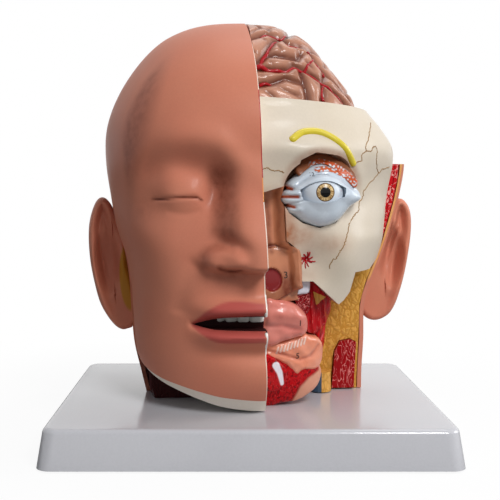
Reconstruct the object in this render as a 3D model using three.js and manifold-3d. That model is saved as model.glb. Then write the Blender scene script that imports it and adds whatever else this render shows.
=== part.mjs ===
// Dissectible model of a human head on a board, life size, in millimetres, Z up.
// The right half wears a face mask that pulls off forwards. On the left half the skin is cut
// away: the left half of the brain lifts out of the skull, and the eye pulls out of its socket.
//
// The head is drawn in its own frame: x to its left (the viewer's right), y to its back and
// h up from the top of the board. x = 0 is the saw cut down the middle of the face, y = 0 is
// the cut behind the face. The head's frame is turned a little and leans on the board.
import * as THREE from 'three';
import { mergeVertices } from 'three/addons/utils/BufferGeometryUtils.js';
import Module from 'manifold-3d';

const wasm = await Module();
wasm.setup();

// Clearances
const gap = 0.3;
const half = gap / 2;
const lift = 1;

// Board
const boardWidth = 214;
const boardDepth = 184;
const boardTop = 21;
const boardDraft = 3;
const boardCorner = 8;
const boardEdge = 2.5;
const footRadius = 9;
const footProud = 1;
const footInset = 22;
const footDepth = 2;
const screwRadius = 2.5;
const screwHeadRadius = 5;
const screwLength = 42;
const screwRing = 18;
const screwBack = 22;
const screwSeat = 8;
const screwHeadHeight = 4;

// Where the head stands on the board
const headX = 2.2;
const headY = 4;
const headYaw = 4 * Math.PI / 180;
const headLean = 0.032;
const leanHeight = 79;

// The head's cross-sections: height, then reach to front, back, right and left
const crown = 213;
const domeStart = 150;
const sections = [
  [0, 60, 58, 63.5, 64], [12, 68, 57, 66, 64.5], [30, 73, 56, 69.5, 66], [50, 76, 56, 70.5, 67],
  [66, 78, 58, 71, 72], [82, 77, 65, 73, 79], [97, 76, 73, 77, 84], [114, 75, 79, 79.5, 89],
  [133, 79, 83, 81.5, 92.6], [150, 80, 83, 80.8, 91], [165, 76, 79, 76, 82], [180, 67, 72, 67.5, 70],
  [194, 52, 59, 56, 56], [204, 35, 44, 43, 43], [210.5, 17, 22, 25, 25], [crown, 0, 0, 0, 0],
];
const sectionRound = 2.3;

// The bare bone of the left side, same columns without the back and the right
const boneSections = [
  [0, 50, 54], [30, 55, 57], [50, 60, 61], [66, 65, 67], [86, 69, 75.5], [100, 70, 79], [112, 69, 80],
  [122, 71, 81.5], [133, 74, 83], [142, 74, 82], [152, 71, 76], [160, 67.5, 69.5], [166, 65, 65.2],
  [176, 58, 58], [196, 30, 30], [205, 0, 0],
];

// Layers of the covering
const skinWall = 2.4;
const fatWall = 2;
const jawRim = 3.2;
const maskEdge = 1.5;

// Cuts
const leftSkinTop = 133;
const skullCut = 166;
const skullCutFall = 0.065;
const neckTop = 86;
const earNotch = 97;
const beyond = 130;
const sky = 260;

// The mask's back edge, as y and h from the crown down
const maskBack = [
  [0, sky], [0, 180], [-4, 150], [-9, 130], [-12, 114], [-13, earNotch], [-20, 79],
  [-22, 60], [-20, 30], [-20, -20],
];
// The mask's lower rim, as x and h from the ear to the middle
const jawLine = [
  [-90, 36], [-70, 27], [-64, 19.2], [-55, 14.3], [-45, 10.7], [-34, 6.8], [-23, 3.4], [-8, 1.3], [2, 1.3],
];
const mouthCorner = -36;
const mouthBottom = 46.5;
const mouthOpen = 7.5;
const mouthTop = mouthBottom + mouthOpen;
const mouthMiddle = mouthBottom + mouthOpen / 2;
const mouthBack = -63;

// Features of the face, as heights and distances from the middle
const noseBase = 80;
const noseTop = 132;
const noseReach = 17;
const noseBridge = 15.5;
const noseTip = 17.5;
const noseWing = 22;
const wingReach = 9;
const browRise = 20.5;
const cheekX = 46;
const cheekHeight = 88;
const chinHeight = 19;

// The ridge at the right temple, and how far the side of the head falls away behind it
const templeRidge = [
  [-41, 196], [-46.7, 183], [-51.4, 168], [-55, 155], [-60.8, 139], [-66.3, 123], [-69.5, 107], [-71.5, 92],
];
const templeFall = 2.6;

// Teeth: how deep they lie under the face, how far to the side and back they reach
const toothInset = 9;
const toothSide = 25;
const toothBack = 1;
const upperTooth = 9.6;
const upperShow = 2.6;
const lowerTooth = 12.8;
const lowerShow = 0.8;

// Brain
const brainY = 4;
const brainHeight = 140;
const brainWidth = 64.5;
const brainTuck = 3;
const brainInWell = brainWidth - brainTuck;
const brainFront = 61;
const brainBack = 65;
const brainUp = 72.3;
const brainDown = 40;
const brainRound = 2.5;
const brainFloor = 112;
const frontalBack = -26;
const furrowDepth = 2.6;
const furrowWidth = 2.7;
const furrowSink = 0.4;
const fissure = 0.5;
const rightUnder = 5.5;
const skullFloor = neckTop + 4;
const stem = { x: 0, y: 12, radius: 9 };
const cerebellumPlace = [0, 43, 101];
const cerebellumRadii = [44, 20, 16];

// Main furrows of the brain: degrees round from the left side, and degrees up from its middle
const furrows = [
  [[-92, 56], [-84, 58], [-73, 60], [-61, 56], [-51, 58], [-40, 62], [-20, 64], [10, 66], [40, 68]],
  [[-90, 39], [-82, 45], [-76, 50], [-70, 54], [-61, 56]],
  [[-91, 38], [-82, 38], [-75, 37], [-69, 37], [-63, 39], [-55, 35], [-48, 30], [-40, 24], [-30, 16]],
  [[-86, 41], [-80, 45], [-74, 45], [-68, 44], [-58, 42], [-52, 45]],
  [[-61, 56], [-58, 51], [-48, 50], [-40, 48], [-30, 46], [-18, 42]],
  [[-90, 30], [-80, 31], [-72, 33], [-66, 31], [-62, 30]],
  [[-60, 37], [-62, 30], [-63, 20], [-66, 9]],
  [[-54, 22], [-49, 30], [-42, 34]],
  [[-42, 48], [-42, 38], [-38, 33], [-32, 27], [-24, 22], [-22, 8]],
  [[-28, 63], [-24, 52], [-18, 42], [-14, 30], [-10, 20], [-8, 11]],
  [[-6, 65], [-2, 54], [4, 44], [6, 33], [12, 20]],
  [[12, 30], [24, 40], [38, 42], [52, 46], [66, 50], [84, 52]],
  [[22, 66], [26, 54], [24, 40]],
  [[40, 68], [46, 56], [52, 46], [50, 34], [56, 24], [56, 6], [50, -8], [42, -20]],
  [[30, 42], [32, 30], [30, 16], [34, 2]],
  [[50, 34], [64, 34], [76, 30], [92, 32]],
  [[66, 72], [70, 60], [66, 50]],
  [[82, 64], [84, 52], [78, 42], [76, 30], [72, 16], [78, 4]],
  [[-70, 76], [-30, 78], [20, 79], [60, 76]],
  [[-90, 13], [-72, 9], [-50, 3], [-30, 6], [-10, 11], [12, 20]],
  [[-62, -16], [-30, -13], [0, -8], [30, -3], [62, -2], [92, 4]],
];

// Eye
const eyeX = 31;
const eyeHeight = 116.5;
const eyeBall = 12;
const eyeFront = -77.5;
const eyeMiddle = eyeFront + 14.5;
const eyeBack = eyeFront + 27.5;
const opticRadius = 3;
const opticLength = 24;
const opticStart = eyeBack - 2.5;
const orbit = [eyeX + 1, eyeMiddle + 1, eyeHeight + 1];
const orbitRadii = [20, 30, 19.5];
const orbitRoof = 4;
const frontalFloor = orbit[2] + orbitRadii[2] + orbitRoof;
const levatorRadius = 2.4;

const aroundEye = ([x, h]) => [eyeX + x, eyeHeight + h];
const eyeOutline = [[-20.5, -3.5], [-19, 2.5], [-14.5, 8], [-7, 13], [0, 15], [7, 13], [14, 7.5],
  [21.4, -1.7], [15, -7.5], [8, -15], [-1, -17.8], [-10, -15.3], [-17, -10]].map(aroundEye);
const levatorArc = [[-8, 14.3], [-2, 17.1], [5, 16.1], [11, 12.1], [13.5, 8.7]].map(aroundEye);
const levatorRoom = [[-13, 9.5], [-11, 16.5], [-3, 20.5], [6, 19.5], [13.4, 14.9], [17.8, 9.6],
  [17.5, 2], [0, -4.5]].map(aroundEye);
const nervePath = [[-15.5, 27], [-7, 31.5], [3.5, 29], [12.5, 23.3], [17.3, 16.5]].map(aroundEye);
const nerveRadius = 2.1;

// Steel pins
const pinRadius = 3;
const brainPin = { foot: [30, -12, 98], top: [30, -12, 122] };
const maskPins = [[-44, -22, 60], [-72, -6, 141]];
const pinHalf = 14;

// Neck
const neckMuscleRight = { side: 47, width: 14.5, front: -9, back: 12, low: 1, high: 22 };
const neckMuscleFront = -3;
const neckMuscleBack = 14;
const vein = { x: 38, y: -7, radius: 6.5, low: 0.6, high: 12 };

// Solids: meshes become manifolds and come back as geometry

function solidOf(geometry) {
  geometry.deleteAttribute('normal');
  geometry.deleteAttribute('uv');
  const merged = mergeVertices(geometry, 1e-4);
  const vertProperties = new Float32Array(merged.attributes.position.array);
  const triVerts = new Uint32Array(merged.index.array);
  const solid = new wasm.Manifold(new wasm.Mesh({ numProp: 3, vertProperties, triVerts }));
  if (solid.volume() > 0) return solid;
  for (let i = 0; i < triVerts.length; i += 3) triVerts.subarray(i, i + 3).reverse();
  return new wasm.Manifold(new wasm.Mesh({ numProp: 3, vertProperties, triVerts }));
}

function geometryOf(solid) {
  const { vertProperties, triVerts, numProp } = solid.getMesh();
  const geometry = new THREE.BufferGeometry();
  const positions = new Float32Array(vertProperties.length / numProp * 3);
  for (let i = 0; i < positions.length / 3; i++) {
    for (let k = 0; k < 3; k++) positions[3 * i + k] = vertProperties[numProp * i + k];
  }
  geometry.setAttribute('position', new THREE.BufferAttribute(positions, 3));
  geometry.setIndex(new THREE.BufferAttribute(new Uint32Array(triVerts), 1));
  return geometry;
}

// Rings of equal length, closed by a fan at each end
function loft(rings) {
  const count = rings[0].length;
  const points = rings.flat();
  const middle = ring => [0, 1, 2].map(k => ring.reduce((sum, p) => sum + p[k], 0) / count);
  const low = points.push(middle(rings[0])) - 1;
  const high = points.push(middle(rings.at(-1))) - 1;
  const faces = [];
  for (let i = 0; i < count; i++) {
    const next = (i + 1) % count;
    faces.push(low, next, i);
    for (let j = 0; j + 1 < rings.length; j++) {
      const a = j * count;
      faces.push(a + i, a + next, a + count + next);
      faces.push(a + i, a + count + next, a + count + i);
    }
    const last = (rings.length - 1) * count;
    faces.push(last + i, last + next, high);
  }
  const geometry = new THREE.BufferGeometry();
  geometry.setAttribute('position', new THREE.Float32BufferAttribute(points.flat(), 3));
  geometry.setIndex(faces);
  return solidOf(geometry);
}

function prism(outline, length) {
  const shape = new THREE.Shape(outline.map(p => new THREE.Vector2(p[0], p[1])));
  return new THREE.ExtrudeGeometry(shape, { depth: length, bevelEnabled: false });
}

// An outline in (x, h), run from front to back
function runBack(outline, front, back) {
  const geometry = prism(outline, back - front);
  geometry.applyMatrix4(new THREE.Matrix4().set(1, 0, 0, 0, 0, 0, -1, back, 0, 1, 0, 0, 0, 0, 0, 1));
  return solidOf(geometry);
}

// An outline in (y, h), run from right to left
function runAcross(outline, right, left) {
  const geometry = prism(outline, left - right);
  geometry.applyMatrix4(new THREE.Matrix4().set(0, 0, 1, right, 1, 0, 0, 0, 0, 1, 0, 0, 0, 0, 0, 1));
  return solidOf(geometry);
}

function block(x0, x1, y0, y1, h0, h1) {
  const geometry = new THREE.BoxGeometry(x1 - x0, y1 - y0, h1 - h0);
  return solidOf(geometry.translate((x0 + x1) / 2, (y0 + y1) / 2, (h0 + h1) / 2));
}

function ball(centre, radii, across = 20, up = 12) {
  const geometry = new THREE.SphereGeometry(1, across, up);
  geometry.rotateX(Math.PI / 2).scale(...radii).translate(...centre);
  return solidOf(geometry);
}

function rod(from, to, radius, sides = 16) {
  const start = new THREE.Vector3(...from);
  const along = new THREE.Vector3(...to).sub(start);
  const geometry = new THREE.CylinderGeometry(radius, radius, along.length(), sides);
  geometry.translate(0, along.length() / 2, 0);
  geometry.applyQuaternion(new THREE.Quaternion().setFromUnitVectors(
    new THREE.Vector3(0, 1, 0), along.clone().normalize()));
  return solidOf(geometry.translate(...from));
}

function tube(points, radius, steps, sides) {
  const path = new THREE.CatmullRomCurve3(points.map(p => new THREE.Vector3(...p)));
  const section = new THREE.Shape();
  section.absarc(0, 0, radius, 0, 2 * Math.PI);
  return solidOf(new THREE.ExtrudeGeometry(section, {
    extrudePath: path, steps, curveSegments: sides / 2 + 1, bevelEnabled: false }));
}

const union = (...solids) => solids.reduce((a, b) => a.add(b));
const without = (solid, ...cutters) => cutters.reduce((a, b) => a.subtract(b), solid);

// An outline grown by a distance
function grown(outline, distance) {
  const area = outline.reduce((sum, p, i) => {
    const q = outline[(i + 1) % outline.length];
    return sum + p[0] * q[1] - q[0] * p[1];
  }, 0);
  const side = Math.sign(area);
  return outline.map((p, i) => {
    const before = outline[(i + outline.length - 1) % outline.length];
    const after = outline[(i + 1) % outline.length];
    const normal = (a, b) => new THREE.Vector2(side * (b[1] - a[1]), side * (a[0] - b[0])).normalize();
    const one = normal(before, p);
    const two = normal(p, after);
    const out = one.clone().add(two).normalize();
    out.multiplyScalar(distance / Math.max(0.4, out.dot(one)));
    return [p[0] + out.x, p[1] + out.y];
  });
}

// The head's surface

function stationAt(table, t) {
  const spot = t * (table.length - 1);
  const i = Math.min(table.length - 2, Math.floor(spot));
  const f = spot - i;
  const rows = [-1, 0, 1, 2].map(k => table[Math.min(table.length - 1, Math.max(0, i + k))]);
  return rows[1].map((_, k) => {
    const [a, b, c, d] = rows.map(row => row[k]);
    return b + 0.5 * f * (c - a + f * (2 * a - 5 * b + 4 * c - d + f * (3 * (b - c) + d - a)));
  });
}

const bump = (value, centre, width) => Math.exp(-(((value - centre) / width) ** 2));
const ease = (low, high, value) => {
  const s = Math.min(1, Math.max(0, (value - low) / (high - low)));
  return s * s * (3 - 2 * s);
};

const swell = (x, h, rx, rh, power) => Math.exp(-(((x / rx) ** 2 + (h / rh) ** 2) ** power));

// How beyond the face stands in front of the plain section at (x, h)
function faceRelief(x, h) {
  const side = Math.abs(x);
  const reach = noseReach * ease(noseTop, noseBase + 2, h) ** 0.8 * ease(noseBase - 5, noseBase - 0.5, h);
  const noseHalf = noseBridge + (noseTip - noseBridge) * ease(noseTop - 20, noseBase + 6, h);
  const nose = reach * Math.exp(-((side / noseHalf) ** 5));
  const wing = wingReach * swell(side - noseWing, h - noseBase - 2.5, 9.3, h < noseBase + 2.5 ? 5.5 : 7.2, 1.6);
  const browLine = eyeHeight + browRise - 9 * ((side - eyeX + 1) / 24) ** 2;
  const brow = 3.6 * bump(h, browLine, 8) * ease(eyeX + 37, eyeX + 9, side);
  const corner = -4.5 * bump(side, eyeX - 6, 7) * bump(h, eyeHeight - 0.5, 12);
  const socket = corner - 7.5 * bump(side, eyeX + 5, 19) * bump(h, eyeHeight + 1.5, 11.5);
  const lid = 8 * swell(side - eyeX - 12, h - eyeHeight - 1, 14, 8.5, 1.25);
  const cheek = 4 * bump(side, cheekX, 17) * bump(h, cheekHeight, 16);
  const mouth = ease(-mouthCorner + 4, -mouthCorner - 14, side);
  const lips = mouth * (5 * bump(h, mouthTop + 3.5, 5) + 5.5 * bump(h, mouthBottom - 3.5, 5.5)
    - 2 * bump(h, mouthMiddle, 2.5));
  const chin = 3.5 * bump(h, chinHeight, 10) * bump(side, 0, 22)
    - 2 * bump(h, chinHeight + 14, 5) * bump(side, 0, 24);
  return nose + wing + brow + socket + lid + cheek + lips + chin + templeRelief(x, h);
}

// The side of the head falls away behind the temple's ridge, and the face is a little hollow before it
function templeRelief(x, h) {
  const below = templeRidge.findIndex(([, height]) => height <= h);
  const k = below < 0 ? templeRidge.length - 1 : Math.max(1, below);
  const [[x0, h0], [x1, h1]] = [templeRidge[k - 1], templeRidge[k]];
  const behind = x0 + (x1 - x0) * Math.min(1, Math.max(0, (h - h0) / (h1 - h0))) - x;
  const fade = ease(200, 180, h) * ease(88, 100, h);
  const hollow = x < 0 ? 2.2 * bump(x, -55, 7) * bump(h, 118, 18) : 0;
  return fade * (0.8 * bump(behind, 0, 3) - templeFall * ease(0, 6, behind)) - hollow;
}

function headRing(row, inset, count, relief) {
  const [height, front, back, right, left] = row;
  const dome = ease(domeStart, crown, height);
  const shrink = inset * (1 - 0.45 * dome);
  const h = height - inset * dome;
  const reach = size => Math.max(size - shrink, 0.02);
  return Array.from({ length: count }, (_, i) => {
    const angle = 2 * Math.PI * (i + 0.5) / count;
    const c = Math.cos(angle);
    const s = Math.sin(angle);
    const x = Math.sign(c) * Math.abs(c) ** (2 / sectionRound) * reach(c < 0 ? right : left);
    let y = Math.sign(s) * Math.abs(s) ** (2 / sectionRound) * reach(s < 0 ? front : back);
    if (s < 0 && relief) y -= relief(x, h) * ease(0, -0.45, s);
    return [x, y, h];
  });
}

function headSolid(inset, rows = 34, count = 44, relief = faceRelief) {
  const rings = [];
  for (let j = 0; j < rows; j++) {
    rings.push(headRing(stationAt(sections, j / rows), inset, count, relief));
  }
  return loft(rings);
}

// The bone of the left side; its right side is the inside of the skin
function boneSolid(grow, rows = 24, count = 40) {
  const rings = [];
  for (let j = 0; j < rows; j++) {
    const t = j / rows;
    const [h, front, left] = stationAt(boneSections, t);
    let low = 0;
    let high = 1;
    for (let k = 0; k < 30; k++) {
      const middle = (low + high) / 2;
      if (stationAt(sections, middle)[0] < h) low = middle;
      else high = middle;
    }
    const [, , back] = stationAt(sections, low);
    rings.push(headRing([h, front, back - skinWall - gap, left, left], -grow, count, boneRelief));
  }
  return loft(rings);
}

// Brow ridge, cheekbone and the hollow beside the nose
function boneRelief(x, h) {
  const brow = 3 * bump(h, eyeHeight + 22.5, 6) * bump(x, eyeX - 5, 24);
  const cheekbone = 4.5 * bump(x, cheekX - 1, 13) * bump(h, cheekHeight - 4, 15);
  const hollow = -5 * bump(x, cheekX - 19, 10) * bump(h, cheekHeight - 8, 12);
  const temple = -4 * bump(x, eyeX + 35, 12) * bump(h, eyeHeight + 5.5, 14);
  return brow + cheekbone + hollow + temple;
}

// Regions

const shifted = (outline, dy) => outline.map(([y, h]) => [y + dy, h]);
const rightSide = [-beyond, -half];
const leftSide = [half, beyond];
const maskRegion = runAcross(
  [...shifted(maskBack, -half), [-beyond, -20], [-beyond, sky]], ...rightSide);
const behindMask = runAcross(
  [...shifted(maskBack, half), [beyond, -20], [beyond, sky]], ...rightSide);

function aboveJaw(rise) {
  const rim = jawLine.map(([x, h]) => [x, h + rise]);
  return runBack([...rim, [2, sky], [-90, sky]], -beyond, beyond);
}

// Brain

function brainPoint(direction, grow, side) {
  const [x, y, h] = direction;
  const power = brainRound;
  const rx = brainWidth + grow;
  const ry = (y < 0 ? brainFront : brainBack) + grow;
  const rh = (h < 0 ? brainDown : brainUp) + grow;
  const size = (Math.abs(x / rx) ** power + Math.abs(y / ry) ** power + Math.abs(h / rh) ** power);
  const scale = size ** (-1 / power);
  return [side * x * scale, brainY + y * scale, brainHeight + h * scale];
}

function brainDirection(round, rise) {
  return [Math.cos(round) * Math.cos(rise), Math.sin(round) * Math.cos(rise), Math.sin(rise)];
}

const radians = Math.PI / 180;
const furrowLines = furrows.map(line => line.flatMap(([round, up], i) => {
  const before = line[Math.max(0, i - 1)];
  return [1 / 3, 2 / 3, 1].map(f => new THREE.Vector3(...brainPoint(brainDirection(
    (before[0] + (round - before[0]) * f) * radians, (before[1] + (up - before[1]) * f) * radians), 0, 1)));
}));
const furrowStep = new THREE.Line3();
const furrowSpot = new THREE.Vector3();

// How deep the brain's surface lies under its smooth form: in a furrow, and a little within the skull
function furrowed(direction) {
  const place = new THREE.Vector3(...brainPoint(direction, 0, 1));
  let nearest = beyond;
  for (const line of furrowLines) {
    for (let i = 0; i + 1 < line.length; i++) {
      furrowStep.set(line[i], line[i + 1]).closestPointToPoint(place, true, furrowSpot);
      nearest = Math.min(nearest, furrowSpot.distanceTo(place));
    }
  }
  return furrowDepth * Math.exp(-((nearest / furrowWidth) ** 2)) + furrowSink * ease(skullCut + 6, skullCut, place.z);
}

function hemisphere(side, grow = 0, floorDrop = 0, folded = false) {
  const rows = folded ? 44 : 16;
  const count = folded ? 84 : 32;
  const rings = [];
  for (let j = 1; j < rows; j++) {
    const rise = Math.PI * (j / rows - 0.5);
    rings.push(Array.from({ length: count }, (_, i) => {
      const angle = 2 * Math.PI * i / count;
      const direction = brainDirection(angle, rise);
      const depth = folded ? furrowed(direction) : 0;
      return brainPoint(direction, side > 0 ? grow - depth : grow - rightUnder, 1);
    }));
  }
  const whole = loft(rings);
  const near = side > 0 ? fissure - grow / 2 : -beyond;
  const reach = side > 0 ? beyond : grow / 2 - fissure;
  const part = whole.intersect(block(near, reach, -beyond, beyond, brainFloor - floorDrop, sky));
  return without(part, block(-beyond, beyond, -beyond, frontalBack - floorDrop,
    0, frontalFloor - floorDrop));
}

// The left half's sides are cut back below the rim of the skull, so that it lifts straight out
function leftHemisphere() {
  const whole = hemisphere(1, 0, 0, true);
  const wide = block(brainInWell, beyond, -beyond, beyond, 0, skullCut + gap);
  return without(whole, wide, rod(brainPin.foot, brainPin.top, pinRadius + gap).translate(0, 0, gap));
}

function oval(rx, front, back, low, high, count = 32) {
  const power = 2 / brainRound;
  const ring = h => Array.from({ length: count }, (_, i) => {
    const angle = 2 * Math.PI * i / count;
    const c = Math.cos(angle);
    const s = Math.sin(angle);
    return [rx * Math.sign(c) * Math.abs(c) ** power,
      brainY + (s < 0 ? front : back) * Math.sign(s) * Math.abs(s) ** power, h];
  });
  return loft([ring(low), ring(high)]);
}

// The room in the skull for the left half: its own shape, and everything straight above it
function brainWell() {
  const up = oval(brainWidth + lift, brainFront + lift, brainBack + lift, brainHeight, sky);
  const room = union(hemisphere(1, lift, gap), up);
  return room.intersect(block(-half, brainInWell + lift, -beyond, beyond, 0, sky));
}

function brainStem(grow = 0) {
  const { x, y, radius } = stem;
  return rod([x, y, skullFloor - grow], [x, y, brainFloor - gap + grow], radius + grow, 20);
}

function cerebellum(grow = 0) {
  const radii = cerebellumRadii.map(r => r + grow);
  const lump = ball(cerebellumPlace, radii, 24, 12);
  return lump.intersect(block(-beyond, beyond, stem.y + stem.radius + gap - grow, beyond,
    skullFloor - grow, brainFloor - gap + grow));
}

// Board, feet and screws

function board() {
  const width = boardWidth / 2;
  const depth = boardDepth / 2;
  const ring = (inset, z) => {
    const points = [];
    const corner = boardCorner;
    for (const [sx, sy, start] of [[1, 1, 0], [-1, 1, 1], [-1, -1, 2], [1, -1, 3]]) {
      for (let k = 0; k <= 3; k++) {
        const angle = (start + k / 3) * Math.PI / 2;
        points.push([sx * (width - inset - corner) + corner * Math.cos(angle),
          sy * (depth - inset - corner) + corner * Math.sin(angle), z]);
      }
    }
    return points;
  };
  const rings = [ring(0, footProud)];
  for (let k = 0; k <= 3; k++) {
    const angle = k / 3 * Math.PI / 2;
    rings.push(ring(boardDraft + boardEdge * (1 - Math.cos(angle)),
      boardTop - boardEdge + boardEdge * Math.sin(angle)));
  }
  return without(loft(rings), ...feet.map(spot => foot(spot, gap)), ...screws.map(spot => screw(spot, gap)));
}

const feet = [[-1, -1], [1, -1], [1, 1], [-1, 1]].map(([sx, sy]) => [
  sx * (boardWidth / 2 - footInset), sy * (boardDepth / 2 - footInset)]);
const screws = [0, 1, 2].map(k => {
  const angle = Math.PI / 2 + k * 2 * Math.PI / 3;
  return [headX + screwRing * Math.cos(angle), headY + screwBack + screwRing * Math.sin(angle)];
});

// A screw, or with a clearance its bore, which opens at the underside of the board
function screw([x, y], grow = 0) {
  const bottom = grow > 0 ? 0 : screwSeat - screwHeadHeight;
  const head = rod([x, y, bottom], [x, y, screwSeat + grow], screwHeadRadius + grow, 16);
  const shank = rod([x, y, screwSeat - 1], [x, y, screwSeat + screwLength + grow], screwRadius + grow, 12);
  return union(head, shank);
}

function foot([x, y], grow = 0) {
  return rod([x, y, 0], [x, y, footProud + footDepth + grow], footRadius + grow, 16);
}

// Pieces of the head

const faceLayer = inset => headSolid(inset, 34, 44, faceRelief);
const backLayer = inset => headSolid(inset, 20, 36, null);
const skin = backLayer(0);
const underSkin = backLayer(skinWall);
const insideSkin = backLayer(skinWall + gap);
const insideFat = backLayer(skinWall + gap + fatWall);
const insideFatGap = backLayer(skinWall + 2 * gap + fatWall);
const bone = boneSolid(0);
const boneGrown = boneSolid(gap);

const mouth = runBack([[mouthCorner, mouthMiddle - 0.25], [mouthCorner / 2, mouthBottom + 0.6],
  [2, mouthBottom], [2, mouthTop], [mouthCorner / 2, mouthTop - 0.4]], -beyond, mouthBack);

function faceSkin() {
  const shell = without(faceLayer(0), faceLayer(skinWall));
  const area = maskRegion.intersect(block(-beyond, -maskEdge, -beyond, beyond, 0, sky));
  return without(shell.intersect(area).intersect(aboveJaw(jawRim)), mouth);
}

function maskCore() {
  const solid = faceLayer(skinWall + gap).intersect(maskRegion).intersect(aboveJaw(0));
  return without(solid, mouth, teeth(upperRow, gap), teeth(lowerRow, gap),
    hemisphere(-1, lift, gap), ...pinHoles());
}

// The pins lie across the mask's back edge, half in the mask and half in the head
function maskPin([x, y, h], grow = 0) {
  return rod([x, y - pinHalf - grow, h], [x, y + pinHalf + grow, h], pinRadius + grow, 14);
}

const pinHoles = () => maskPins.map(spot => maskPin(spot, gap));

function teeth([low, high], grow = 0) {
  const row = block(-toothSide - grow, grow - half, -beyond, mouthBack + toothBack + grow,
    low - grow, high + grow);
  return headSolid(toothInset - grow, 60, 44).intersect(row);
}

const upperRow = [mouthTop - upperShow, mouthTop - upperShow + upperTooth];
const lowerRow = [mouthBottom + lowerShow - lowerTooth, mouthBottom + lowerShow];

function rearSkin() {
  const shell = without(skin, underSkin);
  const rightUpper = shell.intersect(behindMask).intersect(block(...rightSide, -40, beyond, earNotch, sky));
  const rightLower = shell.intersect(block(-beyond, half, 0, beyond, gap, earNotch + 1));
  const left = shell.intersect(block(-half, beyond, 0, beyond, gap, leftSkinTop));
  return union(rightUpper, rightLower, left);
}

const earThick = 7;
const earEdge = 2.5;
const earBack = 14;
const earBowl = [7, 8, 17];
const leftEar = {
  outline: [[77, 78], [84, 100], [88, 111], [94, 112], [98, 104], [97.5, 88], [93, 66], [86, 46],
    [77, 39.5], [69, 42], [66, 52]],
  bowl: [85, 6, 80] };
const rightEar = {
  outline: [[-73, 84], [-78, 104], [-83.5, 113], [-89, 111], [-93.5, 98], [-94, 80], [-91.5, 60],
    [-88, 45], [-80, 31], [-73, 29], [-68.5, 38]],
  bowl: [-83, 6, 78] };

// Outer ear: a plate with a rounded rim and a bowl in its front, seated on the skin
function ear(side) {
  const { outline, bowl } = side > 0 ? leftEar : rightEar;
  const plate = bevelled(outline, earThick, earEdge);
  plate.applyMatrix4(new THREE.Matrix4().set(1, 0, 0, 0, 0, 0, -1, earBack, 0, 1, 0, 0, 0, 0, 0, 1));
  return without(solidOf(plate), ball(bowl, earBowl, 14, 10), backLayer(-gap));
}

function bevelled(outline, depth, bevel) {
  const shape = new THREE.Shape();
  const [first, ...rest] = grown(outline, -bevel).map(p => new THREE.Vector2(...p));
  shape.moveTo(first.x, first.y);
  shape.splineThru([...rest, first]);
  return new THREE.ExtrudeGeometry(shape, {
    depth, bevelThickness: bevel, bevelSize: bevel, bevelSegments: 2, curveSegments: 2 });
}

function cranialBase() {
  const left = bone.intersect(block(-half, beyond, half, beyond, neckTop, sky));
  const right = insideSkin.intersect(block(-beyond, half, half, beyond, neckTop, sky));
  const front = insideSkin.intersect(behindMask)
    .intersect(block(-beyond, -half, -40, 1, earNotch + 1, sky));
  const above = runBack([[-half, skullCut], [beyond, skullCut - skullCutFall * beyond],
    [beyond, sky], [-half, sky]], -beyond, beyond);
  return without(union(left, right, front), above, brainWell(), hemisphere(-1, gap, gap), brainStem(gap),
    cerebellum(gap), ...pinHoles());
}

const skullOutline = [[half, sky], [half, 116.5], [11.8, 120], [12.2, 92], [18.6, 87], [19.3, 70.3],
  [27, 70], [32, 65.5], [38, 60], [42, 56.5], [45, 58.5], [48.6, 63], [51, 74], [62, 74.5],
  [75, 84], [95, 90], [95, sky]];

function facialSkull() {
  const room = block(...leftSide, -beyond, -half, 50, sky);
  const above = runBack([[-5, skullCut], [beyond, skullCut - skullCutFall * beyond],
    [beyond, sky], [-5, sky]], -beyond, beyond);
  const face = bone.intersect(room).intersect(runBack(skullOutline, -beyond, 0));
  return without(face, above, brainWell(), ball(orbit, orbitRadii, 20, 12), eyeWay(), opticNerve(gap),
    rod(brainPin.foot, brainPin.top, pinRadius + gap).translate(0, 0, -gap), nerve(gap),
    hemisphere(-1, gap, gap));
}

function nerve(grow = 0) {
  const points = nervePath.map(([x, h]) => {
    const y = boneFrontAt(x, h);
    return [x, y + 0.6, h];
  });
  return tube(points, nerveRadius + grow, 12, 8);
}

// Where the bone's front surface lies at (x, h)
function boneFrontAt(x, h) {
  let low = 0;
  let high = 1;
  for (let k = 0; k < 30; k++) {
    const middle = (low + high) / 2;
    if (stationAt(boneSections, middle)[0] < h) low = middle;
    else high = middle;
  }
  const [, front, left] = stationAt(boneSections, low);
  const reach = (1 - Math.min(1, Math.abs(x) / left) ** sectionRound) ** (1 / sectionRound);
  return -front * reach - boneRelief(x, h);
}

function opticNerve(grow = 0) {
  const end = opticStart + opticLength + grow;
  return rod([eyeX, opticStart, eyeHeight], [eyeX, end, eyeHeight], opticRadius + grow, 14);
}

// The way that the eye takes out of its socket, with the muscle along its top
const eyeWay = () => union(runBack(grown(eyeOutline, 2 * gap), -beyond, eyeBack),
  runBack(levatorRoom, -beyond, eyeMiddle + levatorRadius + gap));

// A body that swells from its outline to a lower and rounder front
function pillow(outline, middle, front, back, power = 2.4, rows = 4) {
  const curve = new THREE.SplineCurve([...outline, outline[0]].map(p => new THREE.Vector2(...p)));
  const edge = curve.getPoints(22).slice(0, -1).reverse();
  const rings = [];
  for (let j = 1; j < 2 * rows; j++) {
    const t = Math.cos(Math.PI * j / (2 * rows));
    const size = (1 - Math.abs(t) ** power) ** (1 / power);
    const y = middle[1] + (t > 0 ? t * (front - middle[1]) : -t * (back - middle[1]));
    rings.push(edge.map(p => [
      middle[0] + size * (p.x - middle[0]), y, middle[2] + size * (p.y - middle[2])]));
  }
  return loft(rings);
}

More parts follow.
